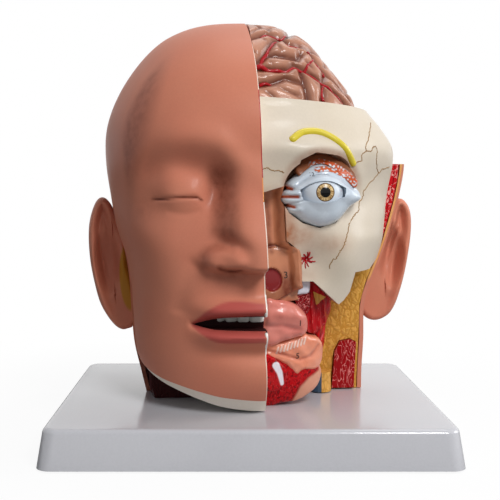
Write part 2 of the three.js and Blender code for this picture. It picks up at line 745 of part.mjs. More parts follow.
function eyeCapsule() {
  const lump = pillow(eyeOutline, [eyeX, eyeMiddle, eyeHeight - 1], eyeFront + 1.6, eyeBack);
  return without(union(lump, opticNerve()), ball([eyeX, eyeFront + eyeBall, eyeHeight],
    [eyeBall + gap, eyeBall + gap, eyeBall + gap], 16, 10));
}

function eyeBallSolid() {
  return ball([eyeX, eyeFront + eyeBall, eyeHeight], [eyeBall, eyeBall, eyeBall], 16, 10);
}

function levator() {
  const capsule = pillow(grown(eyeOutline, gap), [eyeX, eyeMiddle, eyeHeight - 1],
    eyeFront + 1.6 - gap, eyeBack + gap);
  return without(tube(levatorArc.map(([x, h]) => [x, eyeMiddle, h]), levatorRadius, 8, 8), capsule);
}

// Soft parts of the left half: outlines in (x, h), and how beyond their fronts lie under the skin
const organs = {
  tongue: {
    outline: [[half, 60.3], [9, 60.5], [17, 58], [23, 52], [24.3, 46], [22.5, 41.5], [12, 38.5],
      [half, 36.6]],
    inset: 13, colour: '#c9756f' },
  sublingual_gland: {
    outline: [[half, 36], [11, 37.8], [22, 40.8], [25.8, 39.5], [32, 37], [34.5, 30], [31.5, 21],
      [22, 20.6], [18, 18.6], [11.5, 24.6], [half, 31]],
    inset: 17, colour: '#dd8468' },
  jaw_section: {
    outline: [[half, 30.3], [10.2, 24.2], [12, 18], [8, 11.5], [half, 12.5]],
    inset: 15, colour: '#efe9dc' },
  mouth_floor_muscle: {
    outline: [[half, 12], [8.6, 11], [12.4, 18], [18, 18.2], [22, 20.2], [31, 20.4], [30.6, 13],
      [26, 7], [19.3, 3], [11, 1.5], [half, 1.2]],
    inset: 17, colour: '#c8202b' },
  upper_molar: {
    outline: [[18.9, 69.8], [24.8, 69.6], [24.6, 62.5], [18.4, 61.3]],
    inset: 18, colour: '#f4f1ea' },
  gum_section: {
    outline: [[18.2, 61], [24.6, 62.2], [25, 54], [21.8, 54.3]],
    inset: 19, colour: '#8e0f1a' },
  buccinator: {
    outline: [[25.3, 69.3], [27.3, 69.5], [36.5, 61.4], [41.6, 56.2], [38, 48], [30, 43], [25.2, 48]],
    inset: 20, colour: '#c8202b' },
  medial_pterygoid: {
    outline: [[42, 56], [45.5, 56.2], [44, 46], [40.6, 37], [36.4, 27.5], [34.6, 31], [32.4, 37.4],
      [27, 40.4], [25.2, 46.8], [30, 42.6], [38.2, 47.6]],
    inset: 24, colour: '#b3161f' },
  hard_palate: {
    outline: [[half, 64], [17.6, 67.5], [18.2, 62], [17.6, 61], [half, 61]],
    inset: 17, colour: '#d8b0a0' },
  nasal_wall: {
    outline: [[half, 116], [11.4, 119.3], [11.8, 91.8], [18.2, 86.7], [18.9, 70.2], [18.4, 68],
      [half, 64.4]],
    inset: 15, colour: '#a9603f' },
};

function organ({ outline, inset }, others) {
  const surface = headSolid(inset, 26, 44, null);
  const solid = runBack(grown(outline, -half / 2), -beyond, -gap).intersect(surface);
  const rest = others.reduce(
    (left, other) => without(left, runBack(grown(other.outline, half), -beyond, 0)), solid);
  return outline[0][1] > 100 ? without(rest, brainWell(), eyeWay()) : rest;
}

const sternomastoidOutline = [[45.8, 1], [48.3, 22.7], [51.5, 28.6], [57.5, 29.7], [61, 28], [58.9, 1]];

function sternomastoidLeft(grow = 0) {
  return runBack(grown(sternomastoidOutline, grow), neckMuscleFront - grow, neckMuscleBack + grow);
}

function sternomastoidRight(grow = 0) {
  const { side, width, front, back, low, high } = neckMuscleRight;
  return block(-side - width - grow, -side + grow, front - grow, back + grow, low - 2 * grow, high + grow);
}

function jugular(grow = 0) {
  const { x, y, radius, low, high } = vein;
  return rod([x, y, low - grow], [x, y, high + grow], radius + grow, 18);
}

const notchInner = -60;

function neckCore() {
  const behind = insideSkin.intersect(block(-beyond, beyond, 0, beyond, gap, neckTop - gap));
  const front = insideSkin.intersect(behindMask)
    .intersect(block(notchInner, -half, -40, 1, gap, neckTop - gap));
  const shelf = insideSkin.intersect(behindMask).intersect(
    block(notchInner, -half, -40, half, neckTop - gap - 1, earNotch + 1 - gap));
  const bores = fromBoard(union(...screws.map(spot => screw(spot, gap))));
  return without(union(behind, front, shelf), sternomastoidLeft(gap), sternomastoidRight(gap),
    jugular(gap), bores, ...pinHoles());
}

// From the board's frame into the head's
function fromBoard(solid) {
  const matrix = headMatrix().invert();
  return solid.transform([...matrix.elements]);
}

function headMatrix() {
  const shift = headLean * leanHeight;
  const shear = new THREE.Matrix4().set(1, 0, -headLean, shift, 0, 1, 0, 0, 0, 0, 1, 0, 0, 0, 0, 1);
  const turn = new THREE.Matrix4().makeRotationZ(headYaw);
  const stand = new THREE.Matrix4().makeTranslation(headX, headY, boardTop);
  return stand.multiply(turn).multiply(shear);
}

// What shows between the right ear and the mask
const notchSplit = -9;
const notchFloor = 24;
const masseterTop = 84;

function parotidFat() {
  return insideSkin.intersect(behindMask).intersect(
    block(-beyond, notchInner - gap, notchSplit, -gap, notchFloor, earNotch + 1 - gap));
}

function masseter() {
  return insideSkin.intersect(behindMask).intersect(
    block(-beyond, notchInner - gap, -40, notchSplit - gap, notchFloor, masseterTop));
}

function layer(outer, inner) {
  const area = block(40, beyond, 0, 34, neckTop, leftSkinTop);
  return without(outer.intersect(area), inner, boneGrown);
}

const fatLayer = () => layer(insideSkin, insideFat);

const templeMuscle = () => layer(insideFatGap, boneGrown);

const root = new THREE.Group();
const head = new THREE.Group();
head.matrixAutoUpdate = false;
head.matrix.copy(headMatrix());
root.add(head);

function add(group, name, solid, colour, roughness = 0.45, metalness = 0) {
  const material = new THREE.MeshStandardMaterial({ color: colour, roughness, metalness });
  const mesh = new THREE.Mesh(geometryOf(solid), material);
  mesh.name = name;
  group.add(mesh);
}

add(root, 'base_board', board(), '#c8c9ce', 0.25);
feet.forEach((spot, k) => add(root, `base_foot_${k + 1}`, foot(spot), '#303030', 0.8));
screws.forEach((spot, k) => add(root, `base_screw_${k + 1}`, screw(spot), '#9a9a98', 0.3, 1));

add(head, 'face_skin', faceSkin(), '#c07a62');
add(head, 'mask_core', maskCore(), '#e8dcc6');
add(head, 'upper_teeth', teeth(upperRow), '#f2efe6');
add(head, 'lower_teeth', teeth(lowerRow), '#f2efe6');
maskPins.forEach((spot, k) => add(head, `mask_pin_${k + 1}`, maskPin(spot), '#b8b8b8', 0.3, 1));
add(head, 'rear_skin', rearSkin(), '#c07a62');
add(head, 'left_ear', ear(1), '#c07a62');
add(head, 'right_ear', ear(-1), '#c07a62');
add(head, 'cranial_base', cranialBase(), '#e3d8c3');
add(head, 'facial_skull', facialSkull(), '#e3d8c3');
add(head, 'neck_core', neckCore(), '#d9a441');
add(head, 'left_hemisphere', leftHemisphere(), '#b58a75', 0.35);
add(head, 'right_hemisphere', hemisphere(-1), '#b58a75', 0.35);
add(head, 'cerebellum', cerebellum(), '#b58a75', 0.35);
add(head, 'brain_stem', brainStem(), '#d8b49a', 0.35);
add(head, 'brain_pin', rod(brainPin.foot, brainPin.top, pinRadius), '#b8b8b8', 0.3, 1);
add(head, 'supraorbital_nerve', nerve(), '#d9c52b');
add(head, 'eye_capsule', eyeCapsule(), '#c9d3e0', 0.3);
add(head, 'eyeball', eyeBallSolid(), '#dfe4ea', 0.2);
add(head, 'levator_muscle', levator(), '#d8643c');

const done = [];
for (const [name, spec] of Object.entries(organs)) {
  add(head, name, organ(spec, done), spec.colour);
  done.push(spec);
}
add(head, 'sternomastoid_left', sternomastoidLeft(), '#a8141c');
add(head, 'sternomastoid_right', sternomastoidRight().intersect(insideSkin), '#7a1010');
add(head, 'jugular_vein', jugular(), '#44546a');
add(head, 'parotid_fat', parotidFat(), '#c9923a');
add(head, 'masseter', masseter(), '#b06a5c');
add(head, 'cheek_fat_layer', fatLayer(), '#d9a04a');
add(head, 'temple_muscle', templeMuscle(), '#c8202b');

let total = 0;
root.traverse(mesh => {
  if (mesh.isMesh) total += mesh.geometry.index.count / 3;
});
console.log(`${total} triangles`);

export default root;
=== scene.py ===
# %% [markdown]
# # A dissectible head on a board
#
# The model is a life-size head in painted plastic. Its right half wears the face as a mask. Its left half
# is opened, so that the skull, the eye, the mouth, the neck and half of the brain can be seen.
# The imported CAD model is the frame: every piece below is made in its place and rides on one of its bodies.

import math

import bmesh
import bpy
import numpy as np
from mathutils import Matrix, Vector, kdtree


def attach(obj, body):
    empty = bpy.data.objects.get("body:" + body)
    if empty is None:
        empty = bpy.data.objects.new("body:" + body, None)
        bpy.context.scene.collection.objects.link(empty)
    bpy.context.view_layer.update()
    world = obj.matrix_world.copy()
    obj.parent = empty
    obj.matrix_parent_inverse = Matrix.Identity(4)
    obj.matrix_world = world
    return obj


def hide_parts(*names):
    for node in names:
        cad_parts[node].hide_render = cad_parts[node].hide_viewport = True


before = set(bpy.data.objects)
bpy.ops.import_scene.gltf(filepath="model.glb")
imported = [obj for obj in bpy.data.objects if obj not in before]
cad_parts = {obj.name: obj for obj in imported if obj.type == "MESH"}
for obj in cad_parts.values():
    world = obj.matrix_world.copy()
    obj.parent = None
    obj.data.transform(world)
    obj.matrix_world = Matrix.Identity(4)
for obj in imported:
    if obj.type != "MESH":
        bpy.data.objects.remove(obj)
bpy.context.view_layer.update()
print("nodes:", len(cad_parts))

# %% [markdown]
# ## Short helpers
#
# Every piece below is an object with a mesh, and every finish is a small tree of nodes. A few functions make
# these, so that each later step says only what is special about it. Colours are written as on a paint chart
# and turned into linear light, which Blender's nodes expect.

# %% Objects and meshes
MM = 0.001


def add_object(name, data, place=(0, 0, 0), turn=(0, 0, 0)):
    """Puts data into the scene as an object."""
    made = bpy.data.objects.new(name, data)
    made.location = place
    made.rotation_euler = turn
    bpy.context.scene.collection.objects.link(made)
    return made


def discard(piece):
    """Removes an object and its mesh."""
    mesh = piece.data
    bpy.data.objects.remove(piece)
    bpy.data.meshes.remove(mesh)


def mesh_of(name, shape):
    """A bmesh becomes a mesh."""
    mesh = bpy.data.meshes.new(name)
    shape.to_mesh(mesh)
    shape.free()
    return mesh


def new_object(name, shape):
    """A bmesh becomes an object, and its normals are made to point outwards."""
    bmesh.ops.recalc_face_normals(shape, faces=shape.faces[:])
    return add_object(name, mesh_of(name, shape))


def evaluated(holder):
    """The mesh that an object shows, with its modifiers or its curve's bevel."""
    bpy.context.view_layer.update()
    return bpy.data.meshes.new_from_object(holder.evaluated_get(bpy.context.evaluated_depsgraph_get()))


def mesh_from_curve(name, curve):
    """A curve or a text becomes a mesh, and is itself removed."""
    holder = add_object(name, curve)
    mesh = evaluated(holder)
    bpy.data.objects.remove(holder)
    bpy.data.curves.remove(curve)
    return mesh


def corners(data):
    """The places of a mesh's or a bmesh's corners, as an array."""
    if isinstance(data, bmesh.types.BMesh):
        return np.array([v.co[:] for v in data.verts], float)
    places = np.zeros(len(data.vertices) * 3)
    data.vertices.foreach_get("co", places)
    return places.reshape(-1, 3)


def move_corners(data, places):
    if isinstance(data, bmesh.types.BMesh):
        for corner, place in zip(data.verts, places.tolist()):
            corner.co = place
    else:
        data.vertices.foreach_set("co", places.ravel())
        data.update()


def write_attribute(piece, name, values):
    layer = piece.data.attributes.get(name) or piece.data.attributes.new(name, "FLOAT", "POINT")
    layer.data.foreach_set("value", np.asarray(values, np.float32))


def dress(piece, *materials):
    piece.data.materials.clear()
    for material in materials:
        piece.data.materials.append(material)
    return piece


# %% Nodes
def linear(code):
    """A colour as written on a paint chart, such as c07a62, in linear light."""
    parts = [int(code[i:i + 2], 16) / 255 for i in (0, 2, 4)]
    return tuple(p / 12.92 if p <= 0.04045 else ((p + 0.055) / 1.055) ** 2.4 for p in parts) + (1,)


def feed(tree, socket, value):
    """Links a socket, or sets it to a constant."""
    if isinstance(value, bpy.types.NodeSocket):
        tree.links.new(value, socket)
    else:
        socket.default_value = value


def fill(tree, made, **inputs):
    """Feeds a node's inputs by name, where _ stands for a space."""
    for name, value in inputs.items():
        feed(tree, made.inputs[name.replace("_", " ")], value)
    return made


def node(tree, kind, settings=None, **inputs):
    made = tree.nodes.new("ShaderNode" + kind)
    for name, value in (settings or {}).items():
        setattr(made, name, value)
    return fill(tree, made, **inputs)


def use(tree, group, **inputs):
    return node(tree, "Group", {"node_tree": group}, **inputs)


def sums(tree, operation, *values, kind="Math", **settings):
    """A sum on numbers, or on vectors where kind is VectorMath."""
    made = node(tree, kind, {"operation": operation, **settings})
    for socket, value in zip(made.inputs, values):
        feed(tree, socket, value)
    return made.outputs["Value" if operation == "LENGTH" else 0]


def over(tree, factor, under, top):
    """One colour laid over another."""
    made = node(tree, "Mix", {"data_type": "RGBA", "blend_type": "MIX", "clamp_factor": True})
    for i, value in ((0, factor), (6, under), (7, top)):
        feed(tree, made.inputs[i], value)
    return made.outputs[2]


def mixed(tree, factor, one, other):
    """One shader gives way to another."""
    made = node(tree, "MixShader")
    for socket, value in zip(made.inputs, (factor, one.outputs[0], other.outputs[0])):
        feed(tree, socket, value)
    return made


def between(tree, value, low, high, to_low=0.0, to_high=1.0):
    """A smooth step from to_low to to_high as value goes from low to high."""
    return node(tree, "MapRange", {"interpolation_type": "SMOOTHSTEP"}, Value=value, From_Min=low,
                From_Max=high, To_Min=to_low, To_Max=to_high).outputs["Result"]


def new_material(name):
    """A material with its tree and its Principled shader."""
    material = bpy.data.materials.new(name)
    material.use_nodes = True
    return material, material.node_tree, material.node_tree.nodes["Principled BSDF"]


def new_group(name, inputs, outputs):
    """A node group with named sockets; returns its tree, its input sockets and its output node."""
    tree = bpy.data.node_groups.new(name, "ShaderNodeTree")
    for label, (kind, value) in inputs.items():
        socket = tree.interface.new_socket(label, in_out="INPUT", socket_type="NodeSocket" + kind)
        if value is not None:
            socket.default_value = value
    for label, kind in outputs.items():
        tree.interface.new_socket(label, in_out="OUTPUT", socket_type="NodeSocket" + kind)
    return tree, tree.nodes.new("NodeGroupInput").outputs, tree.nodes.new("NodeGroupOutput")


print("terracotta in linear light:", [round(c, 3) for c in linear("c07a62")])

# %% [markdown]
# ## Camera and light
#
# The photograph was taken from a little above the mouth, from about half a metre. The lens, the place and
# the small pitch below were fitted to the corners of the board and the tips of the head. The key lamp stands
# at the upper right, so that the nose and the brow shade the left of the picture. A lamp at the right side
# lights the opened half, weak ones in front and above soften both, and the world fills the shadows.

# %% Camera
CAMERA_PLACE = (-0.01466, -0.54392, 0.13987)
CAMERA_PITCH = 0.0659
CAMERA_LENS = 67.5
CAMERA_SHIFT = 0.057


def add_camera():
    data = bpy.data.cameras.new("camera")
    data.sensor_width = 36
    data.lens = CAMERA_LENS
    data.shift_x = CAMERA_SHIFT
    data.clip_start = 0.01
    camera = add_object("camera", data, CAMERA_PLACE, (math.pi / 2 - CAMERA_PITCH, 0, 0))
    bpy.context.scene.camera = camera
    return camera


camera = add_camera()
print("lens in mm:", camera.data.lens)

# %% Lamps
def add_lamp(name, place, target, size, power):
    data = bpy.data.lights.new(name, "AREA")
    data.shape = "DISK"
    data.size = size
    data.energy = power
    aim = Vector(target) - Vector(place)
    return add_object(name, data, place, aim.to_track_quat("-Z", "Y").to_euler())


HEAD_MIDDLE = (0, 0, 0.13)
add_lamp("key", (0.5, -1.05, 1.0), HEAD_MIDDLE, 0.5, 14.5)
add_lamp("side", (1.15, 0.1, 0.5), HEAD_MIDDLE, 0.6, 5)
add_lamp("front", (-0.45, -1.3, 0.25), HEAD_MIDDLE, 0.8, 1.0)
add_lamp("top", (0.2, 0.3, 1.2), HEAD_MIDDLE, 0.7, 2.6)

# %% World and floor
def shown_white(tree, shader, white):
    """Mixes in a plain white where the camera, or a reflection, looks straight at it."""
    path = node(tree, "LightPath").outputs
    seen = sums(tree, "MAXIMUM", path["Is Camera Ray"], path["Is Glossy Ray"])
    seen = sums(tree, "MAXIMUM", seen, path["Is Transmission Ray"])
    return mixed(tree, seen, shader, white)


def make_world():
    world = bpy.data.worlds.new("studio")
    world.use_nodes = True
    tree = world.node_tree
    tree.nodes.clear()
    shadow_fill = node(tree, "Background", Color=(0.93, 0.96, 1, 1), Strength=0.2)
    white = node(tree, "Background", Color=(1, 1, 1, 1), Strength=1)
    feed(tree, node(tree, "OutputWorld").inputs[0], shown_white(tree, shadow_fill, white).outputs[0])
    bpy.context.scene.world = world


def make_floor():
    """White paper that glows a little away from the object; only the camera sees that glow."""
    shape = bmesh.new()
    bmesh.ops.create_grid(shape, x_segments=1, y_segments=1, size=3)
    floor = add_object("floor", mesh_of("floor", shape))
    material, tree, _ = new_material("pale floor")
    tree.nodes.clear()
    paper = node(tree, "BsdfDiffuse", Color=(0.92, 0.92, 0.92, 1))
    grey_paper = node(tree, "BsdfDiffuse", Color=(0.35, 0.35, 0.35, 1))
    glow = node(tree, "Emission", Strength=1)
    away = sums(tree, "LENGTH", node(tree, "TexCoord").outputs["Object"], kind="VectorMath")
    seen = mixed(tree, between(tree, away, 0.1, 0.36, 0.92, 1.0), paper, glow)
    shown = mixed(tree, node(tree, "LightPath").outputs["Is Camera Ray"], grey_paper, seen)
    feed(tree, node(tree, "OutputMaterial").inputs[0], shown.outputs[0])
    dress(floor, material)
    return floor


make_world()
floor = make_floor()
bpy.context.scene.view_settings.view_transform = "Standard"
print("floor at z =", floor.location.z)

# %% [markdown]
# ## The head's own frame
#
# The head is turned a few degrees and leans a little on its board. All its pieces are drawn in millimetres
# in a straight frame of their own: x to the head's left, y to its back, h up from the board. x = 0 is the
# saw cut down the middle of the face. One function then puts a finished mesh on the board, so that the
# numbers here are the same as those of the CAD model.

# %% From the head's frame to the board's
HEAD_X = 2.2
HEAD_Y = 4
HEAD_YAW = math.radians(4)
HEAD_LEAN = 0.032
LEAN_HEIGHT = 79
BOARD_TOP = 21
GAP = 0.3
HALF = GAP / 2
SMOOTH_BELOW = 35


def head_matrix():
    shear = Matrix(((1, 0, -HEAD_LEAN, HEAD_LEAN * LEAN_HEIGHT), (0, 1, 0, 0), (0, 0, 1, 0), (0, 0, 0, 1)))
    turn = Matrix.Rotation(HEAD_YAW, 4, "Z")
    stand = Matrix.Translation((HEAD_X, HEAD_Y, BOARD_TOP))
    return Matrix.Scale(MM, 4) @ stand @ turn @ shear


def put_on_board(piece, body, slot, stands_for, *finishes, sharp=SMOOTH_BELOW, place=None):
    """Gives a finished piece its place, smooth shading, body, the node it stands for and its paint. The slot
    is not used.
    """
    piece.data.transform(head_matrix() if place is None else place)
    piece.data.polygons.foreach_set("use_smooth", [True] * len(piece.data.polygons))
    piece.data.set_sharp_from_angle(angle=math.radians(sharp))
    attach(piece, body)
    if stands_for:
        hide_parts(stands_for)
    print(piece.name, "on", body, "with", len(piece.data.polygons), "faces")
    return dress(piece, *finishes)


print("head stands at", tuple(round(v, 4) for v in head_matrix().translation))

# %% [markdown]
# ## The surface of the head
#
# A head is neither a ball nor an egg, but its level sections are all rounded boxes. A table gives the reach
# of such sections to the front, back, right and left at sixteen heights, and a smooth curve runs through the
# rows. The face is relief on top of it: swells and hollows that are added straight forwards.

# %% Sections
CROWN = 212.15
DOME_START = 150
SECTION_ROUND = 2.3
SECTIONS = np.array([
    (0, 60, 58, 63.5, 64), (12, 68, 57, 66, 64.5), (30, 73, 56, 69.5, 66), (50, 76, 56, 70.5, 67),
    (66, 78, 58, 71, 72), (82, 77, 65, 73, 79), (97, 76, 73, 77, 84), (114, 75, 79, 79.5, 89),
    (133, 79, 83, 81.5, 92.6), (150, 80, 83, 80.8, 91), (165, 76, 79, 76, 82), (180, 67, 72, 67.5, 70),
    (194, 52, 59, 56, 56), (204, 35, 44, 43, 43), (210.5, 17, 22, 25, 25), (CROWN, 0, 0, 0, 0),
], float)
BONE_SECTIONS = np.array([
    (0, 50, 54), (30, 55, 57), (50, 60, 61), (66, 65, 67), (86, 69, 74.5), (100, 70, 77), (112, 69, 78.5),
    (122, 71, 80.4), (133, 74, 82.5), (142, 74, 82), (152, 71, 76), (160, 67.5, 69.5), (166, 65, 65.2),
    (176, 58, 58), (196, 30, 30), (205, 0, 0),
], float)


def station(table, t):
    """Rows of a table at t from 0 to 1, on a smooth curve through the rows."""
    spot = np.clip(t, 0, 1) * (len(table) - 1)
    i = np.minimum(len(table) - 2, np.floor(spot).astype(int))
    f = (spot - i)[..., None]
    a, b, c, d = (table[np.clip(i + k, 0, len(table) - 1)] for k in (-1, 0, 1, 2))
    return b + 0.5 * f * (c - a + f * (2 * a - 5 * b + 4 * c - d + f * (3 * (b - c) + d - a)))


def row_at(table, height):
    """Rows of a table at given heights."""
    t = np.linspace(0, 1, 2000)
    return station(table, np.interp(height, station(table, t)[:, 0], t))


def bell(value, width, power=2):
    """1 where value is 0, fading over a width."""
    return np.exp(-((value / width) ** power))


def bump(value, centre, width):
    return bell(value - centre, width)


def mound(x, h, middle, size, power=1):
    """A round swell at a place."""
    return np.exp(-(((x - middle[0]) / size[0]) ** 2 + ((h - middle[1]) / size[1]) ** 2) ** power)


def ease(low, high, value):
    """0 up to low, 1 from high on, and a smooth step between them."""
    s = np.clip((value - low) / (high - low), 0, 1)
    return s * s * (3 - 2 * s)


print("head sections:", len(SECTIONS), "bone sections:", len(BONE_SECTIONS))

# %% A ball drawn out to the head
def ball_shape(columns, rows):
    shape = bmesh.new()
    bmesh.ops.create_uvsphere(shape, u_segments=columns, v_segments=rows, radius=1)
    return shape


def ball_angles(shape, rows):
    """For each corner of a round ball, its angle about the upright axis and its t from neck to crown."""
    places = corners(shape)
    angle = np.arctan2(places[:, 1], places[:, 0])
    rise = np.arccos(np.clip(-places[:, 2], -1, 1)) / math.pi
    pole = (np.hypot(places[:, 0], places[:, 1]) < 1e-5).astype(float)
    return angle, np.clip((rise * rows - 1) / (rows - 1), 0, 1), pole


def section_points(rows, angle, inset, relief=None, keep=1):
    """Places on level sections; rows hold height and reach to front, back, right and left."""
    height, front, back, right, left = rows.T
    dome = ease(DOME_START, CROWN, height)
    shrink = inset * (1 - 0.45 * dome)
    h = height - inset * dome
    c = np.cos(angle)
    s = np.sin(angle)
    side = np.maximum(np.where(c < 0, right, left) - shrink, 0.02)
    depth = np.maximum(np.where(s < 0, front, back) - shrink, 0.02)
    x = np.sign(c) * np.abs(c) ** (2 / SECTION_ROUND) * side * keep
    y = np.sign(s) * np.abs(s) ** (2 / SECTION_ROUND) * depth * keep
    if relief is not None:
        y = y - relief(x, h) * np.where(s < 0, ease(0, -0.45, s), 0)
    return np.stack([x, y, h], axis=-1)


def section_ball(name, rows_at, inset, columns, rows, relief, crowd):
    """A ball drawn out to sections. rows_at gives their rows, and crowd draws the columns to the face."""
    shape = ball_shape(columns, rows)
    angle, t, pole = ball_angles(shape, rows)
    turned = (angle + math.pi / 2 + math.pi) % (2 * math.pi) - math.pi
    angle = turned - crowd * np.sin(turned) - math.pi / 2
    move_corners(shape, section_points(rows_at(t), angle, inset, relief, 1 - pole))
    return new_object(name, shape)


def head_rows(t):
    return station(SECTIONS, t)


def head_ball(name, inset=0, columns=120, rows=100, relief=None, crowd=0):
    """The head as one closed shape, inset by a wall's thickness."""
    return section_ball(name, head_rows, inset, columns, rows, relief, crowd)

# %% [markdown]
# ## Cutting shapes
#
# The real model is cut apart along a few plain surfaces, and so are these pieces: a closed shape is
# intersected with a block, a prism or another shape. A Boolean modifier does this. It is applied at once,
# because the next step moves the corners of the result.

# %% Blocks, prisms and the Boolean
BEYOND = 130
SKY = 260


def block(x0, x1, y0, y1, h0, h1):
    shape = bmesh.new()
    bmesh.ops.create_cube(shape, size=1)
    bmesh.ops.scale(shape, vec=(x1 - x0, y1 - y0, h1 - h0), verts=shape.verts)
    bmesh.ops.translate(shape, vec=((x0 + x1) / 2, (y0 + y1) / 2, (h0 + h1) / 2), verts=shape.verts)
    return new_object("block", shape)


def prism(outline, start, end, along="y"):
    """An outline in (x, h) runs along y, or one in (y, h) runs along x."""
    shape = bmesh.new()
    if along == "y":
        loop = [shape.verts.new((p[0], start, p[1])) for p in outline]
        run = (0, end - start, 0)
    else:
        loop = [shape.verts.new((start, p[0], p[1])) for p in outline]
        run = (end - start, 0, 0)
    face = shape.faces.new(loop)
    grown = bmesh.ops.extrude_face_region(shape, geom=[face])
    far = [g for g in grown["geom"] if isinstance(g, bmesh.types.BMVert)]
    bmesh.ops.translate(shape, vec=run, verts=far)
    bmesh.ops.triangulate(shape, faces=[f for f in shape.faces if len(f.verts) > 4])
    return new_object("prism", shape)


def ellipsoid(centre, radii, columns=48, rows=32):
    shape = ball_shape(columns, rows)
    bmesh.ops.scale(shape, vec=radii, verts=shape.verts)
    bmesh.ops.translate(shape, vec=centre, verts=shape.verts)
    return new_object("ellipsoid", shape)


def rod(start, end, radius, sides=32):
    shape = bmesh.new()
    axis = Vector(end) - Vector(start)
    bmesh.ops.create_cone(shape, cap_ends=True, segments=sides, radius1=radius, radius2=radius,
                          depth=axis.length)
    bmesh.ops.rotate(shape, matrix=axis.to_track_quat("Z", "Y").to_matrix(), verts=shape.verts)
    bmesh.ops.translate(shape, vec=(Vector(start) + Vector(end)) / 2, verts=shape.verts)
    return new_object("rod", shape)


def cut(piece, how, *tools):
    """Applies one Boolean after another, and removes the tools."""
    for tool in tools:
        step = piece.modifiers.new("cut", "BOOLEAN")
        step.operation = how
        step.solver = "MANIFOLD"
        step.object = tool
        old = piece.data
        result = evaluated(piece)
        piece.modifiers.clear()
        piece.data = result
        result.name = piece.name
        bpy.data.meshes.remove(old)
        discard(tool)
    if not len(piece.data.polygons):
        raise ValueError(f"nothing is left of {piece.name}")
    return piece


def keep(piece, *tools):
    return cut(piece, "INTERSECT", *tools)


def remove(piece, *tools):
    return cut(piece, "DIFFERENCE", *tools)


def join(piece, *tools):
    return cut(piece, "UNION", *tools)

# %% [markdown]
# ## Paint
#
# Every part is the same plastic under a different paint: a satin or glossy coat, mixed by hand, a little
# uneven. Shade in the creases and hollows is painted into the colour as a darker wash, and a few parts
# use the same wash for a second coat of colour. So the paint's unevenness and this wash are node groups
# that all the paints share. They read Object coordinates, which on these pieces are metres in the board's
# frame, and two attributes that the modelling writes: hollow, the mask of the painted shade and on a few
# parts of the second coat, and tint, a mask for a second colour such as the lips.

# %% Hand-mixed paint
def make_mottle():
    tree, given, out = new_group("mottle", {
        "Place": ("Vector", None), "Colour": ("Color", None), "Second": ("Color", None),
        "Size": ("Float", 40.0), "Amount": ("Float", 0.5), "Roughness": ("Float", 0.35),
    }, {"Colour": "Color", "Roughness": "Float", "Height": "Float"})
    broad = node(tree, "TexNoise", Vector=given["Place"], Scale=given["Size"], Detail=3.0).outputs["Fac"]
    fine = node(tree, "TexNoise", Vector=given["Place"], Scale=900.0, Detail=2.0).outputs["Fac"]
    patch = sums(tree, "MULTIPLY", between(tree, broad, 0.35, 0.7), given["Amount"])
    colour = over(tree, patch, given["Colour"], given["Second"])
    colour = node(tree, "HueSaturation", Color=colour, Value=between(tree, fine, 0.3, 0.7, 0.985, 1.015))
    dull = sums(tree, "MULTIPLY", sums(tree, "SUBTRACT", broad, 0.5), 0.25)
    orange_peel = sums(tree, "MULTIPLY", fine, 0.08)
    fill(tree, out, Colour=colour.outputs[0], Roughness=sums(tree, "ADD", dull, given["Roughness"]),
         Height=sums(tree, "ADD", orange_peel, broad))
    return tree


MOTTLE = make_mottle()
print(MOTTLE.name, [i.name for i in MOTTLE.interface.items_tree])

# %% Painted shade in the hollows
# The wash lays its colour where the hollow attribute asks: mostly painted shade in creases and recesses, and
# on a few parts a second coat of colour.
def make_wash_and_shade():
    tree, given, out = new_group("wash_and_shade", {
        "Place": ("Vector", None), "Colour": ("Color", None), "Wash": ("Color", None),
        "Amount": ("Float", 0.8),
    }, {"Colour": "Color"})
    hollow = node(tree, "Attribute", {"attribute_name": "hollow"}).outputs["Fac"]
    streak = node(tree, "TexNoise", Vector=given["Place"], Scale=220.0, Detail=4.0).outputs["Fac"]
    mask = sums(tree, "MULTIPLY", hollow, between(tree, streak, 0.3, 0.7, 0.75, 1.1))
    mask = sums(tree, "MULTIPLY", mask, given["Amount"], use_clamp=True)
    fill(tree, out, Colour=over(tree, mask, given["Colour"], given["Wash"]))
    return tree


WASH_AND_SHADE = make_wash_and_shade()
print(WASH_AND_SHADE.name, [i.name for i in WASH_AND_SHADE.interface.items_tree])

# %% Lobes of fat, fibres of muscle
def make_lobes():
    """Rounded lumps with narrow furrows between them, which are painted darker as shade."""
    tree, given, out = new_group("lobes", {
        "Place": ("Vector", None), "Colour": ("Color", None), "Furrow": ("Color", None),
        "Size": ("Float", 300.0),
    }, {"Colour": "Color", "Height": "Float"})
    wobble = node(tree, "TexNoise", Vector=given["Place"], Scale=180.0).outputs["Color"]
    slant = node(tree, "Mapping", {"vector_type": "POINT"}, Vector=given["Place"], Rotation=(0, 0.5, 0),
                 Scale=(1.15, 1, 0.62)).outputs[0]
    pushed = sums(tree, "MULTIPLY_ADD", wobble, (0.007, 0.007, 0.007), slant, kind="VectorMath")
    cells = node(tree, "TexVoronoi", {"feature": "F1"}, Vector=pushed, Scale=given["Size"])
    edge = node(tree, "TexVoronoi", {"feature": "DISTANCE_TO_EDGE"}, Vector=pushed, Scale=given["Size"])
    edge = edge.outputs["Distance"]
    shade = node(tree, "SeparateColor", Color=cells.outputs["Color"]).outputs[0]
    tone = between(tree, shade, 0.0, 1.0, 0.94, 1.05)
    base = node(tree, "HueSaturation", Color=given["Colour"], Value=tone).outputs[0]
    colour = over(tree, between(tree, edge, 0.0, 0.2, 0.8, 0.0), base, given["Furrow"])
    fill(tree, out, Colour=colour, Height=between(tree, edge, 0.0, 0.5))
    return tree


